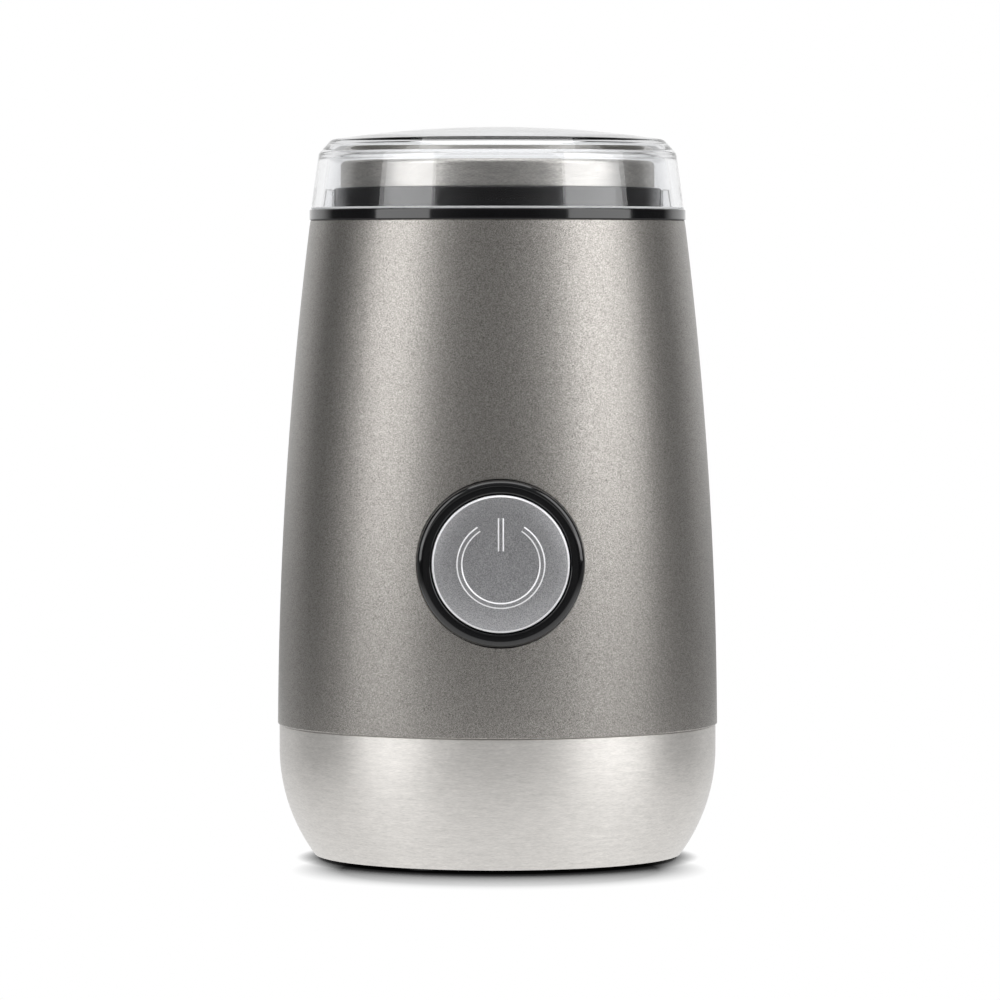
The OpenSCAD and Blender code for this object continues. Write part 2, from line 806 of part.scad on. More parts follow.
// Outline of the bowl, or of its inside, with a rounded floor
module bowl_section(r, corner, low, high) {
    translate([0, low + corner]) square([r, high - low - corner]);
    translate([0, low]) square([r - corner, corner + cut]);
    translate([r - corner, low + corner]) circle(r = corner, $fn = fine);
}

module bowl() color(steel_c) difference() {
    rotate_extrude($fn = fine) difference() {
        intersection() {
            union() {
                bowl_section(bowl_outer_r, bowl_corner_r + sheet, bowl_under_z, bowl_top_z);
                // rolled rim with a round shoulder
                translate([bowl_r, bowl_seat_z])
                    square([rim_r - bowl_r, bowl_rim_h - bowl_rim_round]);
                translate([bowl_r, bowl_seat_z])
                    square([rim_r - bowl_r - bowl_rim_round, bowl_rim_h]);
                translate([rim_r - bowl_rim_round, bowl_top_z - bowl_rim_round])
                    circle(r = bowl_rim_round, $fn = small);
            }
            square([rim_r + cut, bowl_top_z + cut]);
        }
        bowl_section(bowl_r, bowl_corner_r, bowl_floor_z, bowl_top_z + cut);
        translate([bowl_outer_r, bowl_seat_z - cut])
            square([bowl_rim_gap, bowl_rim_h - bowl_rim_round - sheet + cut]);
        translate([-bowl_r, 0]) square([bowl_r, bowl_top_z + 2 * cut]);
    }
    translate([0, 0, bowl_under_z - cut])
        cylinder(r = tower_r + clear, h = 3 * cut, $fn = small * 2);
}

module bowl_gasket() color(rubber_c)
    ring(gasket_r, tower_r + clear, cup_floor_top_z, bowl_under_z);

module shaft_seal() color(rubber_c) {
    seal_r = tower_r + clear + seal_wall;
    difference() {
        translate([0, 0, bowl_floor_z])
            cylinder(r = seal_r, h = seal_top_z - bowl_floor_z, $fn = small * 2);
        translate([0, 0, bowl_floor_z - cut])
            cylinder(r = tower_r + running, h = tower_h + cut, $fn = small * 2);
        translate([0, 0, tower_top_z - cut])
            cylinder(r = shaft_r + fit, h = seal_t + 2 * cut, $fn = small);
    }
}

module shaft_bush() color(brass_c)
    ring(bush_r, shaft_r + running, cup_floor_z, tower_top_z, small * 2);

// Share of the wall by which the bevel moves in on the lid's inside
bevel_share = 0.4;

// Half section of the lid's outside, or of its inside when inset by the wall
module lid_section(inset, low) {
    side_top_z = lid_seat_z + lid_side_h;
    bottom_r = ring_r - lid_step - inset;
    top_r = bottom_r - lid_lean;
    slant = inset * bevel_share;
    intersection() {
        polygon([[0, low], [bottom_r, low],
                 [top_r, side_top_z - slant],
                 [top_r - lid_bevel + slant, side_top_z + lid_bevel - inset],
                 [top_r - lid_bevel + slant, top_z + cut], [0, top_z + cut]]);
        translate([0, top_z - lid_dome_r]) circle(r = lid_dome_r - inset, $fn = 1440);
    }
}

module lid() color([0.86, 0.89, 0.9, 0.4]) {
    rotate_extrude($fn = fine) difference() {
        lid_section(0, lid_seat_z);
        lid_section(lid_wall, lid_seat_z - cut);
    }
    rib_x = upstand_r + clear;
    for (a = [0, 180]) rotate([0, 0, a]) intersection() {
        box([rib_x, -lid_rib_w / 2, lid_seat_z], [ring_r, lid_rib_w / 2, lid_rib_top_z]);
        rotate_extrude($fn = fine) lid_section(lid_wall / 2, lid_seat_z);
    }
    // peg that holds the interlock rod down, flat on the side of the upstand
    peg_z = rod_top_z + clear;
    intersection() {
        translate([rod_x, 0, peg_z])
            cylinder(r = rod_r, h = lid_seat_z - peg_z + peg_root, $fn = small);
        box([rib_x, -rod_r - cut, peg_z - cut], [ring_r, rod_r + cut, lid_seat_z + peg_root]);
    }
}

// ---------------------------------------------------------------- blade and shaft

// Side view of the blade: flat over the shaft, one arm tilted up and the other down
module blade_side() {
    rise = (blade_r - blade_root) * tan(blade_tilt);
    polygon([[-blade_r - cut, -rise], [-blade_root, 0], [blade_root, 0], [blade_r + cut, rise],
             [blade_r + cut, rise + blade_t], [blade_root, blade_t], [-blade_root, blade_t],
             [-blade_r - cut, blade_t - rise]]);
}

// Plan of the blade: a strip with one corner of each tip cut back, and a round hub
module blade_plan() {
    half_w = blade_w / 2;
    polygon([[-blade_r + tip_cut, -half_w], [blade_r - tip_blunt, -half_w],
             [blade_r, -half_w + tip_blunt], [blade_r, half_w - tip_cut],
             [blade_r - tip_cut, half_w], [-blade_r + tip_blunt, half_w],
             [-blade_r, half_w - tip_blunt], [-blade_r, -half_w + tip_cut]]);
    circle(r = blade_hub_r, $fn = small);
}

module blade() color(steel_c) translate([0, 0, blade_z]) difference() {
    intersection() {
        translate([0, blade_w, 0]) rotate([90, 0, 0]) linear_extrude(2 * blade_w) blade_side();
        translate([0, 0, -blade_r]) linear_extrude(2 * blade_r) blade_plan();
    }
    translate([0, 0, -cut]) cylinder(r = shaft_r + running, h = blade_t + 2 * cut, $fn = small);
}

module blade_spacer() color(brass_c)
    ring(shaft_r + spacer_wall, shaft_r + running, blade_z - spacer_h, blade_z, small);

module blade_nut() color(steel_c) difference() {
    union() {
        translate([0, 0, nut_z]) cylinder(d = nut_w, h = nut_h, $fn = 6);
        translate([0, 0, nut_z])
            cylinder(r = shaft_r + nut_collar_w, h = nut_h + nut_collar_h, $fn = small);
        intersection() {
            translate([0, 0, nut_z + nut_h]) sphere(r = nut_dome_r, $fn = small);
            translate([0, 0, nut_z + nut_h])
                cylinder(r = nut_w, h = nut_dome_h, $fn = small);
        }
    }
    translate([0, 0, nut_z - cut])
        cylinder(r = shaft_r + running, h = nut_h + cut, $fn = small);
}

module motor_shaft() color(steel_c)
    translate([0, 0, shaft_z])
        cylinder(r = shaft_r, h = nut_z + nut_h - nut_collar_h - shaft_z, $fn = small);

// ---------------------------------------------------------------- rotor

slot_angles = [for (i = [0:slot_count - 1]) 360 * i / slot_count];

module armature_core() color(iron_c) difference() {
    ring(armature_r, shaft_r + snug, stack_z, stack_top_z, fine);
    around(slot_angles, slot_place_r)
        translate([0, 0, stack_z - cut]) cylinder(r = slot_r, h = stack_h + 2 * cut, $fn = small);
    around(slot_angles, slot_place_r + slot_wall)
        box([0, -slot_mouth_w / 2, stack_z - cut],
            [slot_r + slot_wall, slot_mouth_w / 2, stack_top_z + cut]);
}

module armature_windings() color(copper_c) {
    for (low = [stack_z - winding_turn, stack_top_z])
        translate([0, 0, low]) rotate_extrude($fn = fine)
            translate([shaft_r + winding_inner_gap, 0]) difference() {
                square([winding_w, winding_turn]);
                translate([winding_w, low < stack_z ? 0 : winding_turn])
                    circle(r = winding_round, $fn = small);
            }
    around(slot_angles, slot_place_r)
        translate([0, 0, stack_z - cut / 2])
            cylinder(r = slot_r - wire_gap, h = stack_h + cut, $fn = small);
}

module commutator() color(copper_c) difference() {
    union() {
        ring(commutator_r, shaft_r + snug, commutator_z, commutator_z + commutator_h, small * 2);
        ring(commutator_r + riser_w, shaft_r + snug, commutator_z + commutator_h - cut,
             commutator_z + commutator_h + riser_h, small * 2);
    }
    around([for (i = [0:2 * slot_count - 1]) 180 * i / slot_count], commutator_r - slit_depth)
        box([0, -slit_w / 2, commutator_z - cut],
            [slit_depth + 2 * riser_w, slit_w / 2, commutator_z + commutator_h + riser_h + cut]);
}

module cooling_fan() color(nylon_c) difference() {
    union() {
        ring(fan_hub_r, shaft_r + snug, fan_z, fan_top_z, small);
        ring(fan_r, shaft_r + snug, fan_top_z - fan_disc_t, fan_top_z, fine);
        around([for (i = [0:fan_blades - 1]) 360 * i / fan_blades], 0)
            box([fan_hub_r - cut, -fan_blade_t / 2, fan_z],
                [fan_r - fan_blade_inset, fan_blade_t / 2, fan_top_z - fan_disc_t / 2]);
    }
    translate([0, 0, fan_z - cut])
        cylinder(r = shaft_r + snug, h = fan_h + 2 * cut, $fn = small);
}

// ---------------------------------------------------------------- stator and brackets

module stator_core() color(iron_c) difference() {
    box([-stator_w / 2, -stator_d / 2, stack_z], [stator_w / 2, stator_d / 2, stack_top_z]);
    translate([0, 0, stack_z - cut])
        cylinder(r = armature_r + air_gap, h = stack_h + 2 * cut, $fn = fine);
    quarters(window_x + window_w / 2, window_y + window_h / 2)
        box([-window_w / 2, -window_h / 2, stack_z - cut],
            [window_w / 2, window_h / 2, stack_top_z + cut]);
    quarters(bolt_x, bolt_y) translate([0, 0, stack_z - cut])
        cylinder(r = bolt_r + fit, h = stack_h + 2 * cut, $fn = small);
}

// Each coil passes through two windows and turns above and below the stack
module field_coils() color(copper_c)
    for (s = [-1, 1]) scale([s, 1, 1]) difference() {
        box([window_x + wire_gap, wire_gap - window_y - window_h, stack_z - coil_turn],
            [window_x + window_w - wire_gap, window_y + window_h - wire_gap,
             stack_top_z + coil_turn]);
        box([window_x - cut, -window_y - wire_gap, stack_z - wire_gap],
            [window_x + window_w + cut, window_y + wire_gap, stack_top_z + wire_gap]);
    }

module stator_bolts() color(steel_c)
    quarters(bolt_x, bolt_y) translate([0, 0, lower_z]) mirror([0, 0, 1])
        screw(bolt_r, leg_r, bolt_head_h, bracket_top_z - lower_z);

module bracket_legs(low, high) {
    quarters(bolt_x, bolt_y) translate([0, 0, low])
        cylinder(r = leg_r, h = high - low, $fn = small);
}

module bolt_holes(low, high) {
    quarters(bolt_x, bolt_y) translate([0, 0, low])
        cylinder(r = bolt_r + fit, h = high - low, $fn = small);
}

module upper_bracket() color(steel_c) difference() {
    union() {
        translate([0, 0, bracket_z]) cylinder(r = bracket_r, h = bracket_t, $fn = fine);
        translate([0, 0, bracket_z])
            cylinder(r = bearing_cup_r, h = bracket_t + bearing_cup_h, $fn = small * 2);
        bracket_legs(stack_top_z, bracket_top_z);
    }
    translate([0, 0, upper_bearing_z]) sphere(r = bearing_r + running, $fn = small * 2);
    translate([0, 0, bracket_z - cut])
        cylinder(r = bearing_r - bearing_ledge, h = bracket_t + bearing_h, $fn = small * 2);
    translate([0, 0, upper_bearing_z])
        cylinder(r = bearing_r + running, h = bearing_h, $fn = small * 2);
    bolt_holes(stack_top_z - cut, bracket_top_z + cut);
    around(mount_angles, mount_place_r) translate([0, 0, bracket_z - cut])
        cylinder(r = mount_screw_r + running, h = bracket_t + 2 * cut, $fn = small);
    around([0, 90, 180, 270], bracket_hole_place_r) translate([0, 0, bracket_z - cut])
        cylinder(r = bracket_hole_r, h = bracket_t + 2 * cut, $fn = small);
}

module lower_bracket() color(steel_c) difference() {
    union() {
        box([-holder_end_x - bracket_edge, -stator_d / 2, lower_z],
            [holder_end_x + bracket_edge, stator_d / 2, lower_top_z]);
        translate([0, 0, lower_z])
            cylinder(r = bearing_cup_r, h = bracket_t + bearing_cup_h, $fn = small * 2);
        bracket_legs(lower_z, stack_z);
        for (s = [-1, 1]) scale([s, 1, 1])
            box([holder_leg_x, bracket_edge - holder_side / 2, lower_z],
                [holder_end_x, holder_side / 2 - bracket_edge, brush_z - holder_side / 2]);
    }
    translate([0, 0, lower_bearing_z]) sphere(r = bearing_r + running, $fn = small * 2);
    translate([0, 0, lower_z - cut])
        cylinder(r = bearing_r - bearing_ledge, h = bracket_t + bearing_h, $fn = small * 2);
    translate([0, 0, lower_bearing_z])
        cylinder(r = bearing_r + running, h = bearing_h, $fn = small * 2);
    bolt_holes(lower_z - cut, stack_z + cut);
    for (s = [-1, 1]) translate([0, s * lower_hole_y, lower_z - cut])
        cylinder(r = lower_hole_r, h = bracket_t + 2 * cut, $fn = small);
}

// A self-aligning sleeve bearing: a ball, cut flat, bored for the shaft
module ball_bush(z) {
    difference() {
        intersection() {
            translate([0, 0, z]) sphere(r = bearing_r, $fn = small * 2);
            translate([0, 0, z - bearing_h / 2])
                cylinder(r = bearing_r + cut, h = bearing_h, $fn = small * 2);
        }
        translate([0, 0, z - bearing_h])
            cylinder(r = shaft_r + running, h = 2 * bearing_h, $fn = small);
    }
}

module upper_bearing() color(brass_c) ball_bush(upper_bearing_z);

module lower_bearing() color(brass_c) ball_bush(lower_bearing_z);

module bearing_retainers() color(steel_c)
    for (z = [upper_bearing_z, lower_bearing_z])
        ring(bearing_cup_r, retainer_r, z + bearing_cup_h,
             z + bearing_cup_h + retainer_ring_t, small * 2);

module brush_holders() color(brass_c)
    for (s = [-1, 1]) scale([s, 1, 1]) difference() {
        box([holder_x, -holder_side / 2, brush_z - holder_side / 2],
            [holder_end_x + holder_wall, holder_side / 2, brush_z + holder_side / 2]);
        box([holder_x - cut, -brush_side / 2 - fit, brush_z - brush_side / 2 - fit],
            [holder_end_x, brush_side / 2 + fit, brush_z + brush_side / 2 + fit]);
    }

module carbon_brushes() color("#3a3a3c")
    for (s = [-1, 1]) scale([s, 1, 1]) difference() {
        box([commutator_r - cut, -brush_side / 2, brush_z - brush_side / 2],
            [brush_back_x, brush_side / 2, brush_z + brush_side / 2]);
        translate([0, 0, commutator_z - cut])
            cylinder(r = commutator_r + running, h = commutator_h + 2 * cut, $fn = small * 2);
    }

module brush_springs() color(steel_c)
    for (a = [0, 180]) rotate([0, 0, a])
        translate([brush_back_x, 0, brush_z]) rotate([0, 90, 0])
            spring(brush_spring_r, brush_spring_wire_r, brush_spring_len, spring_turns);

module motor_mounts() color(rubber_c)
    around(mount_angles, mount_place_r)
        ring(mount_r, mount_screw_r + running, bracket_top_z, cup_floor_z, small);

module mount_screws() color(steel_c)
    around(mount_angles, mount_place_r)
        translate([0, 0, cup_floor_top_z - mount_head_h + gasket_t / 2])
            screw(mount_screw_r, mount_head_r, mount_head_h,
                  cup_floor_top_z - mount_head_h + gasket_t / 2 - bracket_z);

// ---------------------------------------------------------------- start button

module button_bezel() color(black_c) to_front(0, button_z) {
    front = -face_y;
    rotate_extrude($fn = fine) difference() {
        union() {
            translate([bezel_bore_r, -bezel_seat_y])
                square([bezel_w, front + bezel_seat_y - bezel_edge_round]);
            translate([bezel_bore_r, -bezel_seat_y])
                square([bezel_w - bezel_edge_round, front + bezel_seat_y]);
            translate([bezel_r - bezel_edge_round, front - bezel_edge_round])
                circle(r = bezel_edge_round, $fn = small);
            translate([bezel_bore_r, -bezel_back_y])
                square([bezel_tube_r - bezel_bore_r, bezel_back_y - bezel_seat_y + cut]);
        }
        translate([0, -bezel_back_y - cut])
            square([bezel_bore_r, front + bezel_back_y + 2 * cut]);
        // wider bore behind, for the button's snap rim
        translate([0, -bezel_back_y - cut])
            square([bezel_bore_r + retainer_step, bezel_back_y - retainer_y + cut]);
    }
}

// Section through the sign: a ring open at the top, and a bar in the opening
module sign() {
    difference() {
        circle(r = sign_r, $fn = fine);
        circle(r = sign_r - sign_w, $fn = fine);
        polygon([[0, 0], [-tan(sign_opening) * 2 * sign_r, 2 * sign_r],
                 [tan(sign_opening) * 2 * sign_r, 2 * sign_r]]);
    }
    translate([-sign_w / 2, sign_bar_low]) square([sign_w, sign_bar_len]);
}

// A round body from height low up to the button's face, or to that far above the face
module under_face(low, above) {
    points = [for (i = [0:face_steps])
        [button_r * i / face_steps,
         above - button_edge_y + button_dome * (1 - pow(i / face_steps, face_power))]];
    rotate_extrude($fn = fine) polygon(concat([[0, low]], points, [[button_r, low]]));
}

module start_button() color("#a9a9ab") to_front(0, button_z) {
    edge = -button_edge_y;
    back = -skirt_back_y;
    difference() {
        union() {
            under_face(back, 0);
            translate([0, 0, back])
                cylinder(r = bezel_bore_r + retainer_step - clear, h = retainer_t, $fn = fine);
        }
        translate([0, 0, back - cut])
            cylinder(r = button_r - skirt_wall, h = edge - back - button_cap_t + cut, $fn = fine);
    }
    translate([0, 0, -stem_back_y])
        cylinder(r = stem_r, h = edge - button_cap_t + stem_back_y + cut, $fn = small);
    intersection() {
        translate([0, 0, edge - cut]) linear_extrude(cut + 2 * button_dome) sign();
        under_face(edge - 2 * cut, sign_h);
    }
}

module button_spring() color(steel_c)
    to_front(bracket_front_y, button_z)
        spring(stem_r + button_spring_gap, button_wire_r,
               bracket_front_y - button_edge_y - button_cap_t, spring_turns);

module switch_bracket() color(nylon_c) {
    shelf_z = button_z - switch_t / 2 - fit;
    difference() {
        union() {
            box([-bracket_half_w, bracket_front_y, button_z - bracket_half_h],
                [bracket_half_w, bracket_front_y + bracket_plate_t, button_z + bracket_half_h]);
            box([-switch_len / 2, bracket_front_y, shelf_z - switch_shelf_t],
                [switch_len / 2, switch_front_y + switch_h, shelf_z]);
        }
        to_front(bracket_front_y + bracket_plate_t + cut, button_z)
            cylinder(r = stem_r + clear, h = bracket_plate_t + 2 * cut, $fn = small);
        for (s = [-1, 1]) to_front(bracket_front_y + bracket_plate_t + cut, button_z)
            translate([s * bracket_screw_x, 0, 0])
                cylinder(r = switch_screw_r + fit, h = bracket_plate_t + 2 * cut, $fn = small);
    }
    for (s = [-1, 1])
        translate([s * switch_hole_x, switch_front_y + switch_hole_drop, shelf_z - cut])
            cylinder(r = switch_hole_r - peg_gap, h = switch_t + fit + cut, $fn = small);
}

module switch_screws() color(steel_c)
    for (s = [-1, 1]) translate([s * bracket_screw_x, bracket_front_y + bracket_plate_t, button_z])
        rotate([-90, 0, 0])
            screw(switch_screw_r, switch_screw_head_r, switch_screw_head_h,
                  bracket_plate_t + switch_screw_bite);

module start_switch() color(black_c)
    to_front(switch_front_y, button_z) micro_switch();

module start_plunger() color("#c8382e")
    to_front(stem_back_y, button_z) translate([0, 0, -plunger_len])
        cylinder(r = plunger_r, h = plunger_len, $fn = small);

// ---------------------------------------------------------------- lid interlock

module interlock_rod() color(nylon_c) translate([rod_x, 0, 0]) {
    translate([0, 0, rod_z]) cylinder(r = rod_r, h = rod_top_z - rod_z, $fn = small);
    translate([0, 0, rod_flange_z]) cylinder(r = rod_flange_r, h = rod_flange_t, $fn = small);
}

module interlock_spring() color(steel_c)
    translate([rod_x, 0, rod_shelf_z + rod_shelf_t])
        spring(rod_r + rod_spring_gap, rod_wire_r, rod_spring_len, spring_turns);

module interlock_bracket() color(black_c) difference() {
    union() {
        box([rod_screw_x - rod_plate_edge, -rod_bracket_half_w, rod_plate_z],
            [rod_x + rod_shelf_edge, rod_bracket_half_w, cup_floor_z]);
        box([rod_wall_x - rod_wall_t, -rod_bracket_half_w, rod_switch_z - switch_h],
            [rod_wall_x, rod_bracket_half_w, cup_floor_z]);
        box([rod_wall_x - cut, -rod_bracket_half_w, rod_shelf_z],
            [rod_x + rod_shelf_edge, rod_bracket_half_w, rod_shelf_z + rod_shelf_t]);
        for (s = [-1, 1])
            translate([rod_wall_x - cut, s * switch_hole_x, rod_switch_z - switch_hole_drop])
                rotate([0, 90, 0])
                    cylinder(r = switch_hole_r - peg_gap, h = switch_t + cut, $fn = small);
    }
    translate([rod_x, 0, rod_shelf_z - cut])
        cylinder(r = rod_r + clear, h = rod_shelf_t + 2 * cut, $fn = small);
    translate([rod_x, 0, rod_plate_z - cut])
        cylinder(r = rod_r + clear, h = rod_plate_t + 2 * cut, $fn = small);
    for (s = [-1, 1]) translate([rod_screw_x, s * rod_screw_y, rod_plate_z - cut])
        cylinder(r = switch_screw_r + fit, h = rod_plate_t + 2 * cut, $fn = small);
}

module interlock_screws() color(steel_c)
    for (s = [-1, 1]) translate([rod_screw_x, s * rod_screw_y, rod_plate_z]) mirror([0, 0, 1])
        screw(switch_screw_r, rod_screw_head_r, rod_screw_head_h,
              rod_plate_t + cup_floor_t - rod_screw_end_gap);

module interlock_switch() color(black_c)
    translate([rod_x, 0, rod_switch_z]) rotate([0, 0, 90]) micro_switch();

module interlock_plunger() color("#c8382e")
    translate([rod_x, 0, rod_z - plunger_len]) cylinder(r = plunger_r, h = plunger_len, $fn = small);

// ---------------------------------------------------------------- cord entry and wiring

module cord_gland() color(rubber_c)
    translate([0, 0, cord_z]) rotate([-90, 0, 0]) difference() {
        union() {
            translate([0, 0, gland_back_y - gland_tail])
                cylinder(r = gland_r, h = gland_len + gland_tail, $fn = small * 2);
            translate([0, 0, gland_back_y])
                cylinder(r = gland_collar_r, h = gland_collar_t, $fn = small * 2);
        }
        translate([0, 0, gland_back_y - gland_tail - cut])
            cylinder(r = cord_bore_r, h = gland_len + gland_tail + 2 * cut, $fn = small * 2);
    }

module cord_clamp() color(black_c) difference() {
    box([-clamp_post_x - clamp_post_r, clamp_y - clamp_half_d, cord_z],
        [clamp_post_x + clamp_post_r, clamp_y + clamp_half_d, cord_z + clamp_t]);
    translate([0, clamp_y - clamp_half_d - cut, cord_z]) rotate([-90, 0, 0])
        cylinder(r = cord_bore_r - clamp_pinch, h = 2 * (clamp_half_d + cut), $fn = small);
    for (s = [-1, 1]) translate([s * clamp_post_x, clamp_y, cord_z - cut])
        cylinder(r = clamp_screw_r + fit, h = clamp_t + 2 * cut, $fn = small);
}

module clamp_screws() color(steel_c)
    for (s = [-1, 1]) translate([s * clamp_post_x, clamp_y, cord_z + clamp_t])
        screw(clamp_screw_r, clamp_screw_head_r, clamp_screw_head_h,
                  clamp_t + cord_z - plate_top_z - clamp_screw_end_gap);

module terminal_block() color(nylon_c) difference() {
    box([block_x - block_w / 2, block_y - block_d / 2, plate_top_z],
        [block_x + block_w / 2, block_y + block_d / 2, plate_top_z + block_h]);
    for (s = [-1, 0, 1]) translate([block_x + s * block_pitch, block_y, plate_top_z + block_floor])
        cylinder(r = block_hole_r, h = block_h, $fn = small);
}

module suppressor_capacitor() color("#c9a23c")
    box([capacitor_x - capacitor_w / 2, capacitor_y - capacitor_d / 2, plate_top_z],
        [capacitor_x + capacitor_w / 2, capacitor_y + capacitor_d / 2, plate_top_z + capacitor_h]);

module thermal_cutout() color(steel_c)
    box([-cutout_w / 2, -cutout_y - cutout_d / 2, lower_top_z],
        [cutout_w / 2, -cutout_y + cutout_d / 2, lower_top_z + cutout_h]);

// A stiff lead along straight stretches with round elbows
module lead(route) {
    for (i = [0:len(route) - 2]) {
        step = route[i + 1] - route[i];
        length = norm(step);
        translate(route[i])
            rotate([0, acos(step[2] / length), atan2(step[1], step[0])])
                cylinder(r = lead_r, h = length, $fn = 24);
    }
    for (i = [1:len(route) - 2])
        translate(route[i]) sphere(r = lead_r + lead_elbow, $fn = 24);
}

module inner_leads() {
    side_x = holder_end_x + lead_gap;
    front_y = -stator_d / 2 - lead_gap;
    back_y = block_y;
    low_z = plate_top_z + capacitor_h + lead_gap;
    over_z = low_z + lead_gap;
    run_z = brush_z + 2 * lead_gap;
    front_z = button_z - switch_t / 2 - lead_drop;
    coil_z = stack_z - coil_turn;
    coil_x = window_x + window_w / 2;
    tab_y = switch_front_y + switch_h + tab_len / 2;
    tab_z = button_z - tab_w / 2;
    block_z = plate_top_z + block_floor;
    interlock_z = rod_switch_z - switch_h - tab_len;
    // block to start switch
    color("#6b3f22") lead([[block_x - block_pitch, block_y, block_z],
        [block_x - block_pitch, block_y, low_z], [-side_x, -back_y, low_z],
        [-side_x, -back_y, run_z], [-side_x, front_y, run_z],
        [-tab_x, front_y, front_z], [-tab_x, tab_y, front_z], [-tab_x, tab_y, tab_z]]);
    // start switch to lid interlock
    color("#2b2b2b") lead([[tab_x, tab_y, tab_z],
        [tab_x, tab_y, front_z], [tab_x, front_y, front_z],
        [side_x, front_y, front_z], [rod_x, -tab_x, run_z],
        [rod_x, -tab_x, interlock_z]]);
    // lid interlock to field coil
    color("#2b2b2b") lead([[rod_x, tab_x, interlock_z],
        [rod_x, tab_x, coil_z - lead_dip], [coil_x, tab_x, coil_z - lead_dip],
        [coil_x, tab_x, coil_z]]);
    // block to field coil
    color("#2f5fa8") lead([[block_x + block_pitch, block_y, block_z],
        [block_x + block_pitch, block_y, over_z], [-side_x, back_y, over_z],
        [-side_x, back_y, coil_z - lead_dip], [-coil_x, back_y, coil_z - lead_dip],
        [-coil_x, back_y, coil_z]]);
}

housing();
base_cover();
base_plate();
base_screws();
rubber_feet();
top_collar();
lid();
bowl();
bowl_gasket();
shaft_seal();
shaft_bush();
blade();
blade_spacer();
blade_nut();
motor_shaft();
armature_core();
armature_windings();
commutator();
cooling_fan();
stator_core();
field_coils();
stator_bolts();
upper_bracket();
lower_bracket();
upper_bearing();
lower_bearing();
bearing_retainers();
brush_holders();
carbon_brushes();
brush_springs();
motor_mounts();
mount_screws();
button_bezel();
start_button();
button_spring();
switch_bracket();
switch_screws();
start_switch();
start_plunger();
interlock_rod();
interlock_spring();
interlock_bracket();
interlock_screws();
interlock_switch();
interlock_plunger();
cord_gland();
cord_clamp();
clamp_screws();
terminal_block();
suppressor_capacitor();
thermal_cutout();
inner_leads();
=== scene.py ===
"""Looks, light and camera for the electric spice grinder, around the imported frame."""
import json
import math

import bmesh
import bpy
from mathutils import Matrix, Vector


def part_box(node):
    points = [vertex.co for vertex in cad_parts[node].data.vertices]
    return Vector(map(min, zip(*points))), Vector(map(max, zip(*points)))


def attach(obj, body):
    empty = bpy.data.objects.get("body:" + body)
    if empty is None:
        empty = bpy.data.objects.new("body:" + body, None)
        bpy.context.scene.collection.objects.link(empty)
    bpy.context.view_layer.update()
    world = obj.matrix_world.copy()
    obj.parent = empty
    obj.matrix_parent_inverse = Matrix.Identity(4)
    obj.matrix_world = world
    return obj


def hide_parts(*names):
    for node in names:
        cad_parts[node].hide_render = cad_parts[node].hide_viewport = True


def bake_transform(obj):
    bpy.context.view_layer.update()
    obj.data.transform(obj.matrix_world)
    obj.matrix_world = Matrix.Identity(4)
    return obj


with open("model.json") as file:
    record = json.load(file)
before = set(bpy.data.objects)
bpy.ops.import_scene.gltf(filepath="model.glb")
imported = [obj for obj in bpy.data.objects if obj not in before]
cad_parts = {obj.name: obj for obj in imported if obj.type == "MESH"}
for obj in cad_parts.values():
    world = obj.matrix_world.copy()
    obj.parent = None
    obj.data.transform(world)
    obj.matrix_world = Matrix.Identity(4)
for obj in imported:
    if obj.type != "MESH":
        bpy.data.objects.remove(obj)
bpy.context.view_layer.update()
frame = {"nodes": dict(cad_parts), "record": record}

# ------------------------------------------------------------------ sizes, in millimetres


def box_mm(node):
    """Lowest and highest corner of a CAD node, in millimetres."""
    low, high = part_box(node)
    return [1000 * v for v in low], [1000 * v for v in high]


# Read from the frame
_, HOUSING_HIGH = box_mm("housing")
BASE_LOW, BASE_HIGH = box_mm("base_cover")
COLLAR_LOW, COLLAR_HIGH = box_mm("top_collar")
LID_LOW, LID_HIGH = box_mm("lid")
BOWL_LOW, BOWL_HIGH = box_mm("bowl")
BEZEL_LOW, BEZEL_HIGH = box_mm("button_bezel")
_, BUTTON_HIGH = box_mm("start_button")
GLAND_LOW, GLAND_HIGH = box_mm("cord_gland")
ROD_LOW, ROD_HIGH = box_mm("interlock_rod")

SEAM_Z = BASE_HIGH[2]                       # steel meets paint
HOUSING_TOP_Z = HOUSING_HIGH[2]
BOWL_TOP_Z = BOWL_HIGH[2]
BOWL_SEAT_Z = COLLAR_HIGH[2]                # top of the upstand, under the bowl's rim
LID_TOP_Z = LID_HIGH[2]
RING_R = COLLAR_HIGH[0]
RIM_R = BOWL_HIGH[0]
BUTTON_Z = (BEZEL_LOW[2] + BEZEL_HIGH[2]) / 2
BEZEL_R = BEZEL_HIGH[0]
FACE_Y = BEZEL_LOW[1]                       # front of the black ring
CORD_Z = (GLAND_LOW[2] + GLAND_HIGH[2]) / 2

# Not in the frame: walls and steps, as in the CAD
HOUSING_TOP_R = RING_R - 0.2
HOUSING_WALL = 2.4
BULGE_R = 53.898                            # widest radius of the housing
BULGE_DROP = 6.5                            # the housing is upright this far below the seam
WELL_FROM, WELL_TO = 44, 60                 # the button's well in the housing, along -Y
WELL_GAP = 0.2
BASE_STEP = 0.4                             # the steel sits this far inside the paint
BASE_CURVE_R = 43.5
BASE_ARC_Z = SEAM_Z - 6
BASE_RIM_W = 4                              # turned in under the base, round the plate
SHEET = 0.8
GLAND_HOLE_R = 5.8
HOLE_FROM, HOLE_TO = 40, 60                 # the gland's hole in the steel, along +Y
FOOT_H = BASE_LOW[2]
RING_H = 2.6                                # the black ring under the lid
LID_SEAT_Z = HOUSING_TOP_Z + RING_H
BOWL_R = RIM_R - 2 * SHEET - 0.8
CUP_R = BOWL_R + SHEET + 0.5
CUP_OUTER_R = CUP_R + 1.6
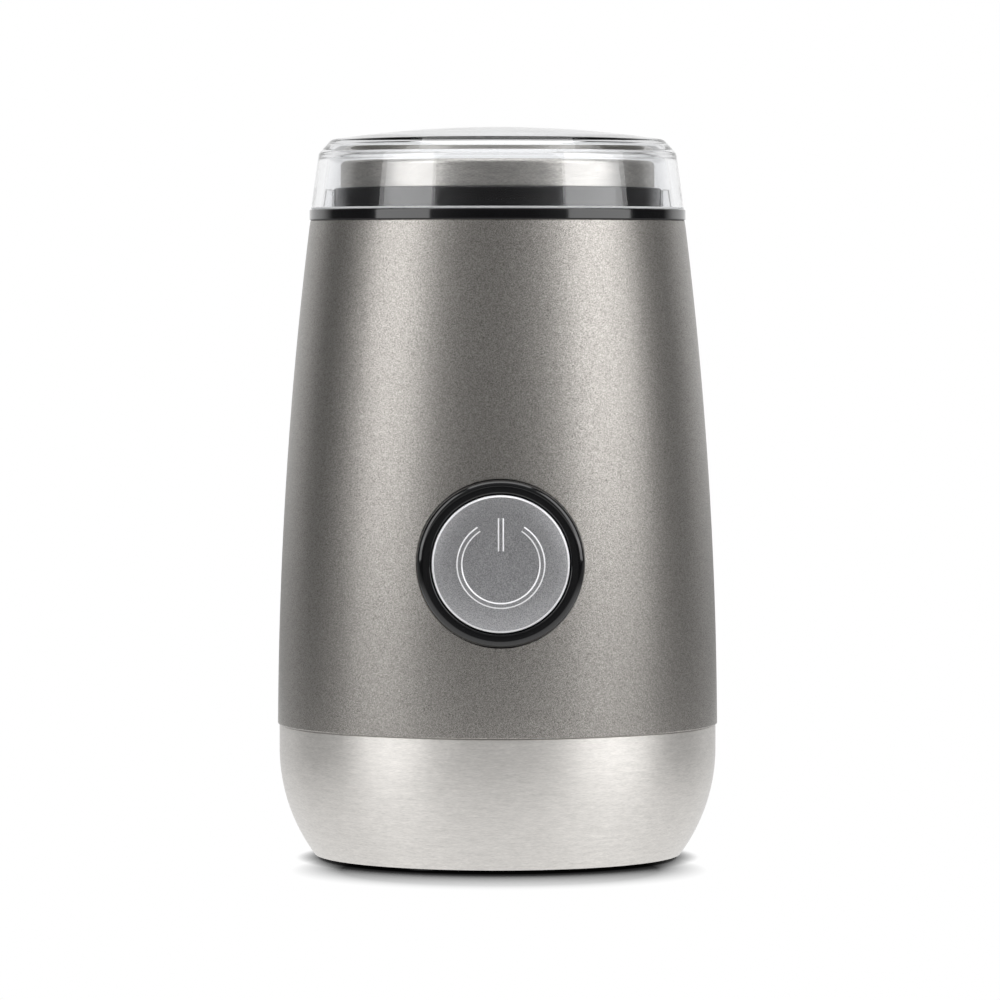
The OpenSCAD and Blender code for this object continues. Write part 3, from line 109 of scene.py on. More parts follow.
UPSTAND_R = CUP_R + 2.9
BOWL_FLOOR_Z = BOWL_LOW[2] + SHEET
BOWL_CORNER_R = 14.0
BOWL_RIM_FOLD = 2.8                         # from the rim's top to the sheet folded under it
CUP_FLOOR_Z = BOWL_LOW[2] - 1.5
TOWER_R = 8.05                              # stands through the bowl's floor, round the shaft
TOWER_TOP_Z = BOWL_FLOOR_Z + 3
TOWER_BORE_R = 5.1
TOWER_GAP = 0.25
LIP_WALL = 1.6                              # the collar's lip inside the housing
LIP_DEPTH = 3
LIP_GAP = 0.2
LID_R = RING_R - 0.4
LID_LEAN = 1.9
LID_SIDE_H = 13.8
LID_BEVEL = 3.1
LID_DOME_R = 268.0
LID_WALL = 2.4
LID_DOME_WALL = 1.8
FROSTED_H = 0.5                             # the lid's lower edge isn't polished
RIB_T = 3.2
RIB_W = 4.0
RIB_GAP = 0.3                               # to the upstand
RIB_LIFT = 0.03                             # above the lid's seat
ROD_X = (ROD_LOW[0] + ROD_HIGH[0]) / 2
ROD_R = 1.5
ROD_GAP = 0.25
BUTTON_R = 16.3
BUTTON_BORE_R = BUTTON_R + 0.3
BUTTON_DOME = 1.6
FACE_POWER = 4                              # the face is flat in the middle, steeper outward
BUTTON_EDGE = -FACE_Y + 0.2                 # height of the face's edge along -Y
BUTTON_SKIRT = 1.7
BUTTON_CAP_T = 2.9
BUTTON_BACK_DEPTH = 7.8                     # depths are below the housing's surface
BUTTON_FLANGE_W = 0.8
BUTTON_FLANGE_T = 1.2
STEM_R = 3
BEZEL_SEAT_DEPTH = 4.6
BEZEL_BACK_DEPTH = 9.2
BEZEL_WALL = 1.9
BEZEL_STOP_H = 3.2                          # room for the button's flange
SIGN_R = 10.4
SIGN_W = 1.2
SIGN_H = 0.295
SIGN_OPENING = 32                           # degrees on each side of the bar

SEGMENTS = 288
MM = 0.001


def housing_r_at(z):
    """Outer radius of the housing: one long arc, upright just below the seam."""
    bulge_z = SEAM_Z - BULGE_DROP
    rise = HOUSING_TOP_Z - bulge_z
    drawn_in = BULGE_R - HOUSING_TOP_R
    r = (rise * rise + drawn_in * drawn_in) / (2 * drawn_in)
    return BULGE_R - r + math.sqrt(r * r - (z - bulge_z) ** 2)


BASE_R = housing_r_at(SEAM_Z) - BASE_STEP
BASE_RIM_R = (math.sqrt(BASE_CURVE_R ** 2 - (BASE_ARC_Z - FOOT_H) ** 2)
              + BASE_R - BASE_CURVE_R - BASE_RIM_W)

# ------------------------------------------------------------------ outlines


def arc(centre, radius, start, end, steps):
    """Points on a circle between two angles in degrees."""
    out = []
    for i in range(steps + 1):
        a = math.radians(start + (end - start) * i / steps)
        out.append((centre[0] + radius * math.cos(a), centre[1] + radius * math.sin(a)))
    return out


def rounded(corners, steps=5, closed=True):
    """An outline from (x, y, radius) corners, each corner rounded by its radius."""
    out = []
    count = len(corners)
    for i, (x, y, radius) in enumerate(corners):
        ends = not closed and i in (0, count - 1)
        if radius <= 0 or ends:
            out.append((x, y))
            continue
        here = Vector((x, y))
        before = Vector(corners[i - 1][:2]) - here
        after = Vector(corners[(i + 1) % count][:2]) - here
        a, b = before.normalized(), after.normalized()
        half = a.angle(b) / 2
        if half > math.radians(88):
            out.append((x, y))
            continue
        reach = min(radius / math.tan(half), before.length * 0.49, after.length * 0.49)
        r = reach * math.tan(half)
        centre = here + (a + b).normalized() * (r / math.sin(half))
        p, q = here + a * reach - centre, here + b * reach - centre
        turn = p.angle_signed(q) if p.length > 0 else 0
        for k in range(steps + 1):
            f = k / steps
            c, s = math.cos(-turn * f), math.sin(-turn * f)
            out.append((centre.x + p.x * c - p.y * s, centre.y + p.x * s + p.y * c))
    return out


# ------------------------------------------------------------------ meshes


def add_mesh(name, bm, sharp=30.0):
    """Turns a bmesh, in millimetres, into a smooth object with its sharp edges marked."""
    bmesh.ops.remove_doubles(bm, verts=bm.verts, dist=1e-4)
    bmesh.ops.recalc_face_normals(bm, faces=bm.faces)
    bmesh.ops.scale(bm, vec=(MM, MM, MM), verts=bm.verts)
    for face in bm.faces:
        face.smooth = True
    for edge in bm.edges:
        if len(edge.link_faces) == 2 and edge.calc_face_angle(0) > math.radians(sharp):
            edge.smooth = False
    mesh = bpy.data.meshes.new(name)
    bm.to_mesh(mesh)
    bm.free()
    obj = bpy.data.objects.new(name, mesh)
    bpy.context.scene.collection.objects.link(obj)
    return obj


def lathe_bm(outline, turn=None, segments=SEGMENTS, closed=True):
    """Spins an (r, height) outline round the vertical axis, or round a turned one."""
    bm = bmesh.new()
    rings = []
    for r, z in outline:
        if r < 1e-6:
            rings.append([bm.verts.new((0, 0, z))] * segments)
            continue
        ring = []
        for k in range(segments):
            a = 2 * math.pi * k / segments
            ring.append(bm.verts.new((r * math.cos(a), r * math.sin(a), z)))
        rings.append(ring)
    pairs = list(zip(rings, rings[1:]))
    if closed:
        pairs.append((rings[-1], rings[0]))
    for low, high in pairs:
        for k in range(segments):
            n = (k + 1) % segments
            corners = []
            for v in (low[k], low[n], high[n], high[k]):
                if v not in corners:
                    corners.append(v)
            if len(corners) > 2:
                bm.faces.new(corners)
    if turn is not None:
        bmesh.ops.transform(bm, matrix=turn, verts=bm.verts)
    return bm


def lathe(name, outline, turn=None, closed=True):
    return add_mesh(name, lathe_bm(outline, turn, closed=closed))


def to_front():
    """Turns +Z to -Y at the button's height."""
    return Matrix.Translation((0, 0, BUTTON_Z)) @ Matrix.Rotation(math.pi / 2, 4, "X")


def to_back():
    """Turns +Z to +Y at the cord's height."""
    return Matrix.Translation((0, 0, CORD_Z)) @ Matrix.Rotation(-math.pi / 2, 4, "X")


def cutter(radius, low, high, turn, segments):
    """A plain closed cylinder that cuts a hole."""
    outline = [(0, low), (radius, low), (radius, high), (0, high)]
    return add_mesh("cutter", lathe_bm(outline, turn, segments, closed=False))


def boolean(obj, other, operation):
    """Cuts or joins another mesh, applies the result and deletes the other."""
    mod = obj.modifiers.new("cut", "BOOLEAN")
    mod.operation = operation
    mod.object = other
    mod.solver = "EXACT"
    apply_modifiers(obj)
    bpy.data.objects.remove(other)


def apply_modifiers(obj):
    graph = bpy.context.evaluated_depsgraph_get()
    graph.update()
    done = bpy.data.meshes.new_from_object(obj.evaluated_get(graph))
    obj.modifiers.clear()
    old = obj.data
    obj.data = done
    bpy.data.meshes.remove(old)


def finish_shading(obj, sharp=30.0):
    """Marks sharp edges again and weights the normals, so flats stay flat."""
    bm = bmesh.new()
    bm.from_mesh(obj.data)
    bmesh.ops.remove_doubles(bm, verts=bm.verts, dist=1e-7)
    for face in bm.faces:
        face.smooth = True
    for edge in bm.edges:
        wide = len(edge.link_faces) == 2 and edge.calc_face_angle(0) > math.radians(sharp)
        edge.smooth = not wide
    bm.to_mesh(obj.data)
    bm.free()
    mod = obj.modifiers.new("weighted normals", "WEIGHTED_NORMAL")
    mod.keep_sharp = True
    mod.weight = 60


# ------------------------------------------------------------------ material nodes


class Nodes:
    """A short way to write the node tree of a material or of the world."""

    def __init__(self, owner, coords):
        owner.use_nodes = True
        self.tree = owner.node_tree
        self.coords = self.add("ShaderNodeTexCoord").outputs[coords]

    def add(self, kind, **settings):
        node = self.tree.nodes.new(kind)
        for key, value in settings.items():
            setattr(node, key, value)
        return node

    def link(self, out, socket):
        self.tree.links.new(out, socket)

    def feed(self, node, *values):
        """Links or sets a node's first inputs."""
        for socket, value in zip(node.inputs, values):
            if isinstance(value, bpy.types.NodeSocket):
                self.link(value, socket)
            else:
                socket.default_value = value

    def math(self, operation, *values):
        node = self.add("ShaderNodeMath", operation=operation)
        self.feed(node, *values)
        return node.outputs[0]

    def vector(self, operation, *values):
        node = self.add("ShaderNodeVectorMath", operation=operation)
        self.feed(node, *values)
        return node.outputs["Value" if operation == "DISTANCE" else "Vector"]

    def split(self):
        """The x, y and z of the coordinates."""
        node = self.add("ShaderNodeSeparateXYZ")
        self.link(self.coords, node.inputs[0])
        return node.outputs

    def remap(self, value, low, high, to_low, to_high, smooth=False):
        """Low to high becomes to_low to to_high, and no value goes past them."""
        node = self.add("ShaderNodeMapRange",
                        interpolation_type="SMOOTHSTEP" if smooth else "LINEAR")
        self.link(value, node.inputs["Value"])
        for key, number in (("From Min", low), ("From Max", high),
                            ("To Min", to_low), ("To Max", to_high)):
            node.inputs[key].default_value = number
        return node.outputs["Result"]


class Finish(Nodes):
    """A material with its Principled shader."""

    def __init__(self, name):
        self.mat = bpy.data.materials.new(name)
        super().__init__(self.mat, "Object")
        self.shader = self.tree.nodes["Principled BSDF"]

    def set(self, **values):
        """Sets the shader's inputs, with _ for each space in their names."""
        for key, value in values.items():
            self.shader.inputs[key.replace("_", " ")].default_value = value

    def noise(self, scale, detail=2.0, rough=0.5, coords=None):
        node = self.add("ShaderNodeTexNoise")
        self.link(coords or self.coords, node.inputs["Vector"])
        node.inputs["Scale"].default_value = scale
        node.inputs["Detail"].default_value = detail
        node.inputs["Roughness"].default_value = rough
        return node.outputs["Fac"]

    def cells(self, scale):
        """A random value and a random colour for each small cell."""
        node = self.add("ShaderNodeTexVoronoi")
        self.link(self.coords, node.inputs["Vector"])
        node.inputs["Scale"].default_value = scale
        split = self.add("ShaderNodeSeparateColor")
        self.link(node.outputs["Color"], split.inputs[0])
        return split.outputs[0], node.outputs["Color"]

    def shade(self, factor, dark, light):
        """Mixes two colours by a factor."""
        color_a, color_b, color_out = 6, 7, 2       # the Mix node's sockets for colours
        node = self.add("ShaderNodeMix", data_type="RGBA")
        self.link(factor, node.inputs["Factor"])
        node.inputs[color_a].default_value = (*dark, 1)
        node.inputs[color_b].default_value = (*light, 1)
        return node.outputs[color_out]

    def bump(self, height, distance, strength):
        node = self.add("ShaderNodeBump")
        node.inputs["Distance"].default_value = distance
        node.inputs["Strength"].default_value = strength
        self.link(height, node.inputs["Height"])
        self.link(node.outputs["Normal"], self.shader.inputs["Normal"])
        return node.outputs["Normal"]

    def tilt(self, normal, tint, amount):
        """Leans each cell's surface a little its own way, as metal flakes lie in paint."""
        middle = (0.5, 0.5, 0.5)
        lean = self.vector("MULTIPLY", self.vector("SUBTRACT", tint, middle), (amount,) * 3)
        leaning = self.vector("NORMALIZE", self.vector("ADD", normal, lean))
        self.link(leaning, self.shader.inputs["Normal"])

    def color(self, out):
        self.link(out, self.shader.inputs["Base Color"])

    def rough(self, out):
        self.link(out, self.shader.inputs["Roughness"])

    def round_coords(self, along, across):
        """Coordinates that run round the vertical axis: slow along, fast across."""
        x, y, z = self.split()
        angle = self.math("ARCTAN2", y, x)
        radius = self.math("SQRT", self.math("ADD", self.math("MULTIPLY", x, x),
                                             self.math("MULTIPLY", y, y)))
        join = self.add("ShaderNodeCombineXYZ")
        self.feed(join, self.math("MULTIPLY", angle, along),
                  self.math("MULTIPLY", radius, across), self.math("MULTIPLY", z, across))
        return join.outputs[0]


def linear(*srgb):
    """Linear colour from sRGB values of 0 to 255."""
    out = []
    for v in srgb:
        v /= 255
        out.append(v / 12.92 if v <= 0.04045 else ((v + 0.055) / 1.055) ** 2.4)
    return tuple(out)


def paint_material():
    n = Finish("metallic_paint")
    flakes, tint = n.cells(11000)
    cloud = n.noise(3000, 2, 0.6)
    mixed = n.math("ADD", n.math("MULTIPLY", flakes, 0.8), n.math("MULTIPLY", cloud, 0.2))
    n.color(n.shade(n.remap(mixed, 0.1, 0.9, 0, 1), linear(83, 81, 78), linear(193, 189, 184)))
    n.rough(n.remap(cloud, 0.3, 0.7, 0.31, 0.37))
    n.tilt(n.bump(mixed, 0.00002, 0.5), tint, 0.1)
    n.set(Metallic=0.95)
    return n.mat


def steel_material(name, tone, rough, anisotropy, depth=0.82):
    """Steel brushed round the vertical axis; depth is how dark its lines are."""
    n = Finish(name)
    lines = n.noise(1.0, 4, 0.65, n.round_coords(40.0, 7500.0))
    broad = n.noise(1.0, 2, 0.5, n.round_coords(12.0, 1500.0))
    mixed = n.math("ADD", n.math("MULTIPLY", lines, 0.75), n.math("MULTIPLY", broad, 0.25))
    darker = tuple(depth * v for v in tone)
    n.color(n.shade(n.remap(mixed, 0.3, 0.7, 0, 1), linear(*darker), linear(*tone)))
    n.rough(n.remap(lines, 0.3, 0.7, rough - 0.05, rough + 0.07))
    n.bump(mixed, 0.00002, 0.5)
    n.set(Metallic=1.0, Anisotropic=anisotropy, Anisotropic_Rotation=0.25)
    tangent = n.add("ShaderNodeTangent", direction_type="RADIAL", axis="Z")
    n.link(tangent.outputs[0], n.shader.inputs["Tangent"])
    return n.mat


def black_gloss_material():
    n = Finish("black_gloss")
    wave = n.noise(90, 2, 0.5)
    n.color(n.shade(n.noise(900, 2), linear(9, 9, 10), linear(14, 14, 16)))
    n.rough(n.remap(wave, 0.3, 0.7, 0.06, 0.12))
    n.bump(wave, 0.00003, 0.2)
    n.set(Specular_IOR_Level=0.62)
    return n.mat


def black_satin_material():
    n = Finish("black_satin")
    grain = n.noise(1500, 2, 0.5)
    n.color(n.shade(n.noise(900, 2), linear(9, 9, 10), linear(14, 14, 16)))
    n.rough(n.remap(grain, 0.3, 0.7, 0.09, 0.13))
    n.bump(grain, 0.000004, 0.2)
    n.set(Specular_IOR_Level=0.35)
    return n.mat


def clear_material():
    n = Finish("clear_plastic")
    wave = n.noise(60, 2, 0.5)
    n.rough(n.remap(wave, 0.3, 0.7, 0.0, 0.02))
    n.bump(wave, 0.00004, 0.15)
    n.color(n.shade(wave, (0.95, 0.955, 0.965), (0.965, 0.97, 0.98)))
    n.set(IOR=1.49, Transmission_Weight=1.0)
    return n.mat


def frosted_material():
    n = Finish("clear_frosted")
    grain = n.noise(2500, 2, 0.6)
    n.color(n.shade(grain, (0.86, 0.87, 0.88), (0.93, 0.94, 0.95)))
    n.rough(n.remap(grain, 0.3, 0.7, 0.55, 0.65))
    n.bump(grain, 0.00002, 0.3)
    n.set(IOR=1.49, Transmission_Weight=0.45)
    return n.mat


def button_material():
    n = Finish("silver_grain")
    grain = n.noise(4200, 3, 0.75)
    n.color(n.shade(n.remap(grain, 0.3, 0.7, 0, 1), linear(112, 112, 114), linear(188, 188, 190)))
    n.rough(n.remap(grain, 0.3, 0.7, 0.36, 0.5))
    n.bump(grain, 0.00006, 0.8)
    n.set(Metallic=0.8)
    return n.mat


# A near-white finish that stands for a highlight: a painted highlight on the button's chamfer and
# on the sign's sloped sides
def painted_highlight_edge_material():
    n = Finish("painted_highlight_edge")
    grain = n.noise(2000, 2)
    n.color(n.shade(grain, linear(225, 225, 227), linear(250, 250, 252)))
    n.rough(n.remap(grain, 0.3, 0.7, 0.3, 0.45))
    n.bump(grain, 0.00002, 0.3)
    n.set(Metallic=0.2)
    return n.mat


def moulded_material(name, dark, light, scale=1400, rough=(0.45, 0.6), depth=0.00004,
                     metallic=0.0):
    """Fine-textured plastic, rubber, cast or turned metal."""
    n = Finish(name)
    grain = n.noise(scale, 3, 0.6)
    n.color(n.shade(n.remap(grain, 0.3, 0.7, 0, 1), linear(*dark), linear(*light)))
    n.rough(n.remap(grain, 0.3, 0.7, *rough))
    n.bump(grain, depth, 0.5)
    n.set(Metallic=metallic)
    return n.mat


def wound_material(name, dark, light, pitch, metallic):
    """Fine lines round the vertical axis, for windings and stacked sheets."""
    n = Finish(name)
    lines = n.noise(1.0, 2, 0.5, n.round_coords(3.0, pitch))
    n.color(n.shade(n.remap(lines, 0.35, 0.65, 0, 1), linear(*dark), linear(*light)))
    n.rough(n.remap(lines, 0.3, 0.7, 0.35, 0.55))
    n.bump(lines, 0.0001, 0.5)
    n.set(Metallic=metallic)
    return n.mat


PAINT = paint_material()
STEEL = steel_material("brushed_stainless", (228, 225, 221), 0.48, 0.7)
BOWL_STEEL = steel_material("bowl_stainless", (212, 209, 204), 0.38, 0.5, 0.66)
BLACK = black_gloss_material()
BLACK_SATIN = black_satin_material()
CLEAR = clear_material()
FROSTED = frosted_material()
SILVER = button_material()
# Painted highlight for the button's chamfer and the sign's strokes
PAINTED_HIGHLIGHT_EDGE = painted_highlight_edge_material()
BY_SLOT = {
    "housing_paint": PAINT,
    "brushed_steel": STEEL,
    "black_gloss": BLACK,
    "clear_plastic": CLEAR,
    "button_silver": SILVER,
    "blade_steel": steel_material("blade_steel", (205, 206, 208), 0.22, 0.5),
    "zinc_steel": moulded_material("zinc_plated", (168, 170, 174), (200, 202, 206), 900,
                                   (0.25, 0.4), 0.00002, 1.0),
    "rubber": moulded_material("rubber", (22, 22, 24), (34, 34, 37), 1100, (0.6, 0.8)),
    "black_matt": moulded_material("black_matt", (20, 20, 22), (33, 33, 36), 1600, (0.4, 0.55)),
    "nylon": moulded_material("nylon", (214, 208, 192), (232, 227, 214), 700, (0.4, 0.55)),
    "brass": moulded_material("brass", (176, 140, 70), (206, 170, 98), 800, (0.25, 0.4),
                              0.00002, 1.0),
    "copper": wound_material("copper_wire", (120, 58, 28), (196, 112, 60), 1600.0, 0.9),
    "lamination": wound_material("laminated_iron", (86, 90, 96), (140, 144, 150), 2000.0, 0.9),
    "cast_aluminium": moulded_material("cast_aluminium", (150, 152, 155), (186, 188, 190), 500,
                                       (0.4, 0.6), 0.00008, 1.0),
    "carbon": moulded_material("carbon", (34, 34, 36), (60, 60, 63), 1800, (0.5, 0.7)),
    "red_nylon": moulded_material("red_nylon", (150, 34, 26), (190, 52, 42), 900),
    "amber_film": moulded_material("amber_film", (170, 130, 40), (200, 160, 60), 300,
                                   (0.2, 0.3), 0.00002),
    "lead_insulation": moulded_material("lead_insulation", (84, 44, 24), (110, 62, 36), 600),
}

# Leaving the CAD's own pieces in place, each gets the material of its slot
SLOTS = {row["node"]: row["material_slot"] for row in frame["record"]["subparts"]}
for node_name, cad_obj in frame["nodes"].items():
    cad_obj.data.materials.clear()
    cad_obj.data.materials.append(BY_SLOT[SLOTS[node_name]])


def dress(obj, node, body, material):
    """Puts a finished piece in place of its CAD node."""
    obj.data.materials.append(material)
    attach(obj, body)
    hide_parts(node)
    return obj


# ------------------------------------------------------------------ pieces


def make_housing():
    """The painted barrel, with rounded edges and a well for the button."""
    steps = 64
    heights = [SEAM_Z + (HOUSING_TOP_Z - SEAM_Z) * i / steps for i in range(steps + 1)]
    edge = 0.35
    outer = [(housing_r_at(z), z) for z in heights[1:-1]]
    inner = [(housing_r_at(z) - HOUSING_WALL, z) for z in reversed(heights[1:-1])]
    low_r, high_r = housing_r_at(SEAM_Z), housing_r_at(HOUSING_TOP_Z)
    outline = (arc((low_r - edge, SEAM_Z + edge), edge, -90, 0, 5) + outer
               + arc((high_r - edge, HOUSING_TOP_Z - edge), edge, 0, 90, 5)
               + [(high_r - HOUSING_WALL, HOUSING_TOP_Z)] + inner
               + [(low_r - HOUSING_WALL, SEAM_Z)])
    obj = lathe("housing_shell", outline)
    well = cutter(BEZEL_R + WELL_GAP, WELL_FROM, WELL_TO, to_front(), 160)
    boolean(obj, well, "DIFFERENCE")
    finish_shading(obj)
    return dress(obj, "housing", "body", PAINT)


def make_base_cover():
    """The steel shell, drawn in to its rim at the foot, with the gland's hole."""
    centre = (BASE_R - BASE_CURVE_R, BASE_ARC_Z)
    down = math.degrees(math.asin((BASE_ARC_Z - FOOT_H) / BASE_CURVE_R))
    inner_r = BASE_CURVE_R - SHEET
    inner_down = math.degrees(math.asin((BASE_ARC_Z - FOOT_H - SHEET) / inner_r))
    edge, corner = 0.3, 0.1
    outline = ([(BASE_RIM_R, FOOT_H + SHEET), (BASE_RIM_R, FOOT_H)]
               + arc(centre, BASE_CURVE_R, -down, 0, 40)
               + [(BASE_R, SEAM_Z - edge), (BASE_R - corner, SEAM_Z - corner),
                  (BASE_R - edge, SEAM_Z), (BASE_R - SHEET, SEAM_Z)]
               + arc(centre, inner_r, 0, -inner_down, 40))
    obj = lathe("base_shell", outline)
    hole = cutter(GLAND_HOLE_R, HOLE_FROM, HOLE_TO, to_back(), 96)
    boolean(obj, hole, "DIFFERENCE")
    finish_shading(obj)
    return dress(obj, "base_cover", "body", STEEL)


def make_collar():
    """The black ring, its upstand and the cup under the bowl; inside it is a little duller."""
    lip_r = housing_r_at(HOUSING_TOP_Z) - HOUSING_WALL - LIP_GAP
    lip_z = HOUSING_TOP_Z - LIP_DEPTH
    outline = rounded([
        (RING_R, HOUSING_TOP_Z, 0.25), (RING_R, LID_SEAT_Z, 0.3), (UPSTAND_R, LID_SEAT_Z, 0.25),
        (UPSTAND_R, BOWL_SEAT_Z, 0.45), (CUP_R, BOWL_SEAT_Z, 0.2),
        (CUP_R, CUP_FLOOR_Z, 1.0), (TOWER_R, CUP_FLOOR_Z, 0.3),
        (TOWER_R, TOWER_TOP_Z, 0), (TOWER_BORE_R, TOWER_TOP_Z, 0),
        (TOWER_BORE_R, COLLAR_LOW[2], 0),
        (CUP_OUTER_R, COLLAR_LOW[2], 0), (CUP_OUTER_R, HOUSING_TOP_Z, 0),
        (lip_r - LIP_WALL, HOUSING_TOP_Z, 0), (lip_r - LIP_WALL, lip_z, 0),
        (lip_r, lip_z, 0), (lip_r, HOUSING_TOP_Z, 0)])
    obj = lathe("collar_ring", outline)
    at_rod = Matrix.Translation((ROD_X, 0, 0))
    hole = cutter(ROD_R + ROD_GAP, lip_z - 2, LID_SEAT_Z + 2, at_rod, 64)
    boolean(obj, hole, "DIFFERENCE")
    finish_shading(obj)
    dress(obj, "top_collar", "body", BLACK)
    obj.data.materials.append(BLACK_SATIN)
    for face in obj.data.polygons:
        c = face.center / MM
        if math.hypot(c.x, c.y) < UPSTAND_R + 0.01:
            face.material_index = 1
    return obj


def make_bowl():
    """The steel cup, with its rim folded over the upstand."""
    under_z = BOWL_LOW[2]
    outer_r = BOWL_R + SHEET
    corner = (BOWL_R - BOWL_CORNER_R, BOWL_FLOOR_Z + BOWL_CORNER_R)
    rim_under_z = BOWL_TOP_Z - BOWL_RIM_FOLD
    hole_r = TOWER_R + TOWER_GAP
    outline = ([(hole_r, under_z), (hole_r, BOWL_FLOOR_Z)]
               + arc(corner, BOWL_CORNER_R, -90, 0, 24)
               + rounded([(BOWL_R, corner[1] + 1, 0), (BOWL_R, BOWL_TOP_Z, 0.7),
                          (RIM_R, BOWL_TOP_Z, 2.0), (RIM_R, BOWL_SEAT_Z, 0.2),
                          (RIM_R - SHEET, BOWL_SEAT_Z, 0.2), (RIM_R - SHEET, rim_under_z, 0),
                          (outer_r, rim_under_z, 0), (outer_r, corner[1] + 1, 0)],
                         8, closed=False)
               + arc(corner, BOWL_CORNER_R + SHEET, 0, -90, 24))
    obj = lathe("bowl_cup", outline)
    finish_shading(obj)
    return dress(obj, "bowl", "body", BOWL_STEEL)


def lid_outline(side_in, top_in, edge, slant):
    """Half outline of the lid's outside, or of its inside, from the rim up to the axis.

    side_in and top_in are how far it lies inside the outer wall and the dome, edge is the
    radius of its bevel's edges, and slant sets the bevel back along the thicker corner."""
    side_top = LID_SEAT_Z + LID_SIDE_H
    bottom_r = LID_R - side_in
    top_r = bottom_r - LID_LEAN
    dome_r = LID_DOME_R - top_in
    dome_z = LID_TOP_Z - LID_DOME_R
    bevel_r = top_r - LID_BEVEL + slant
    bevel_z = dome_z + math.sqrt(dome_r ** 2 - bevel_r ** 2)
    run = 8                                     # the bevel blends into the dome over this
    run_z = dome_z + math.sqrt(dome_r ** 2 - (bevel_r - run) ** 2)
    side = rounded([(bottom_r, LID_SEAT_Z, 0), (top_r, side_top - slant, edge),
                    (bevel_r, bevel_z, edge), (bevel_r - run, run_z, 0)], 10, closed=False)
    dome = []
    steps = 20
    for i in range(1, steps + 1):
        r = (bevel_r - run) * (1 - i / steps)
        dome.append((r, dome_z + math.sqrt(dome_r ** 2 - r * r)))
    return side + dome


def make_lid():
    """The clear cap with two ribs and the interlock's peg; its lower edge is frosted."""
    outer = lid_outline(0, 0, 1.6, 0)
    inner = lid_outline(LID_WALL, LID_DOME_WALL, 3.6, 0.5 * LID_WALL)
    outline = ([(LID_R - 0.3, LID_SEAT_Z), (LID_R - 0.1, LID_SEAT_Z + 0.1),
                (LID_R - 0.06, LID_SEAT_Z + FROSTED_H)] + outer[1:] + list(reversed(inner)))
    obj = lathe("lid_cap", outline)
    rib_in = UPSTAND_R + RIB_GAP
    rib_low = LID_SEAT_Z + RIB_LIFT
    for side in (1, -1):
        rib = block("rib", (side * (rib_in + RIB_T / 2), 0, (rib_low + BOWL_SEAT_Z) / 2),
                    (RIB_T, RIB_W, BOWL_SEAT_Z - rib_low), 0.4)
        boolean(obj, rib, "UNION")
    boolean(obj, peg(rib_in), "UNION")
    finish_shading(obj)
    obj.visible_shadow = False
    dress(obj, "lid", "lid", CLEAR)
    obj.data.materials.append(FROSTED)
    for face in obj.data.polygons:
        if abs(face.center.z / MM - LID_SEAT_Z) < FROSTED_H:
            face.material_index = 1
    return obj


def peg(flat_x):
    """The peg under the lid that holds the interlock rod down, flat towards the bowl."""
    low, high = LID_LOW[2], LID_SEAT_Z + 2
    half = math.degrees(math.acos((flat_x - ROD_X) / ROD_R))
    corners = arc((ROD_X, 0), ROD_R, -half, half, 32)
    bm = bmesh.new()
    face = bm.faces.new([bm.verts.new((x, y, low)) for x, y in corners])
    top = bmesh.ops.extrude_face_region(bm, geom=[face])["geom"]
    verts = [v for v in top if isinstance(v, bmesh.types.BMVert)]
    bmesh.ops.translate(bm, vec=(0, 0, high - low), verts=verts)
    return add_mesh("peg", bm)


def block(name, centre, size, edge):
    """A box with rounded edges."""
    bm = bmesh.new()
    bmesh.ops.create_cube(bm, size=1)
    bmesh.ops.scale(bm, vec=size, verts=bm.verts)
    bmesh.ops.translate(bm, vec=centre, verts=bm.verts)
    bmesh.ops.bevel(bm, geom=bm.edges[:], offset=edge, segments=3, affect="EDGES", profile=0.5)
    return add_mesh(name, bm)


def make_bezel():
    """The black ring round the button, and the tube behind it that the button slides in."""
    front = -FACE_Y
    seat = housing_r_at(BUTTON_Z) - BEZEL_SEAT_DEPTH
    back = housing_r_at(BUTTON_Z) - BEZEL_BACK_DEPTH
    stop = back + BEZEL_STOP_H
    tube_r = BUTTON_BORE_R + BEZEL_WALL
    flange_r = BUTTON_BORE_R + BUTTON_FLANGE_W
    outline = rounded([
        (BUTTON_BORE_R, front, 0.5), (BEZEL_R, front, 2.0), (BEZEL_R, seat, 0.2),
        (tube_r, seat, 0), (tube_r, back, 0), (flange_r, back, 0),
        (flange_r, stop, 0), (BUTTON_BORE_R, stop, 0)], 12)
    obj = lathe("bezel_ring", outline, to_front())
    finish_shading(obj)
    return dress(obj, "button_bezel", "body", BLACK)


def dome_height(r):
    """Height of the button's face along -Y at a distance from its middle."""
    return BUTTON_EDGE + BUTTON_DOME * (1 - (r / BUTTON_R) ** FACE_POWER)


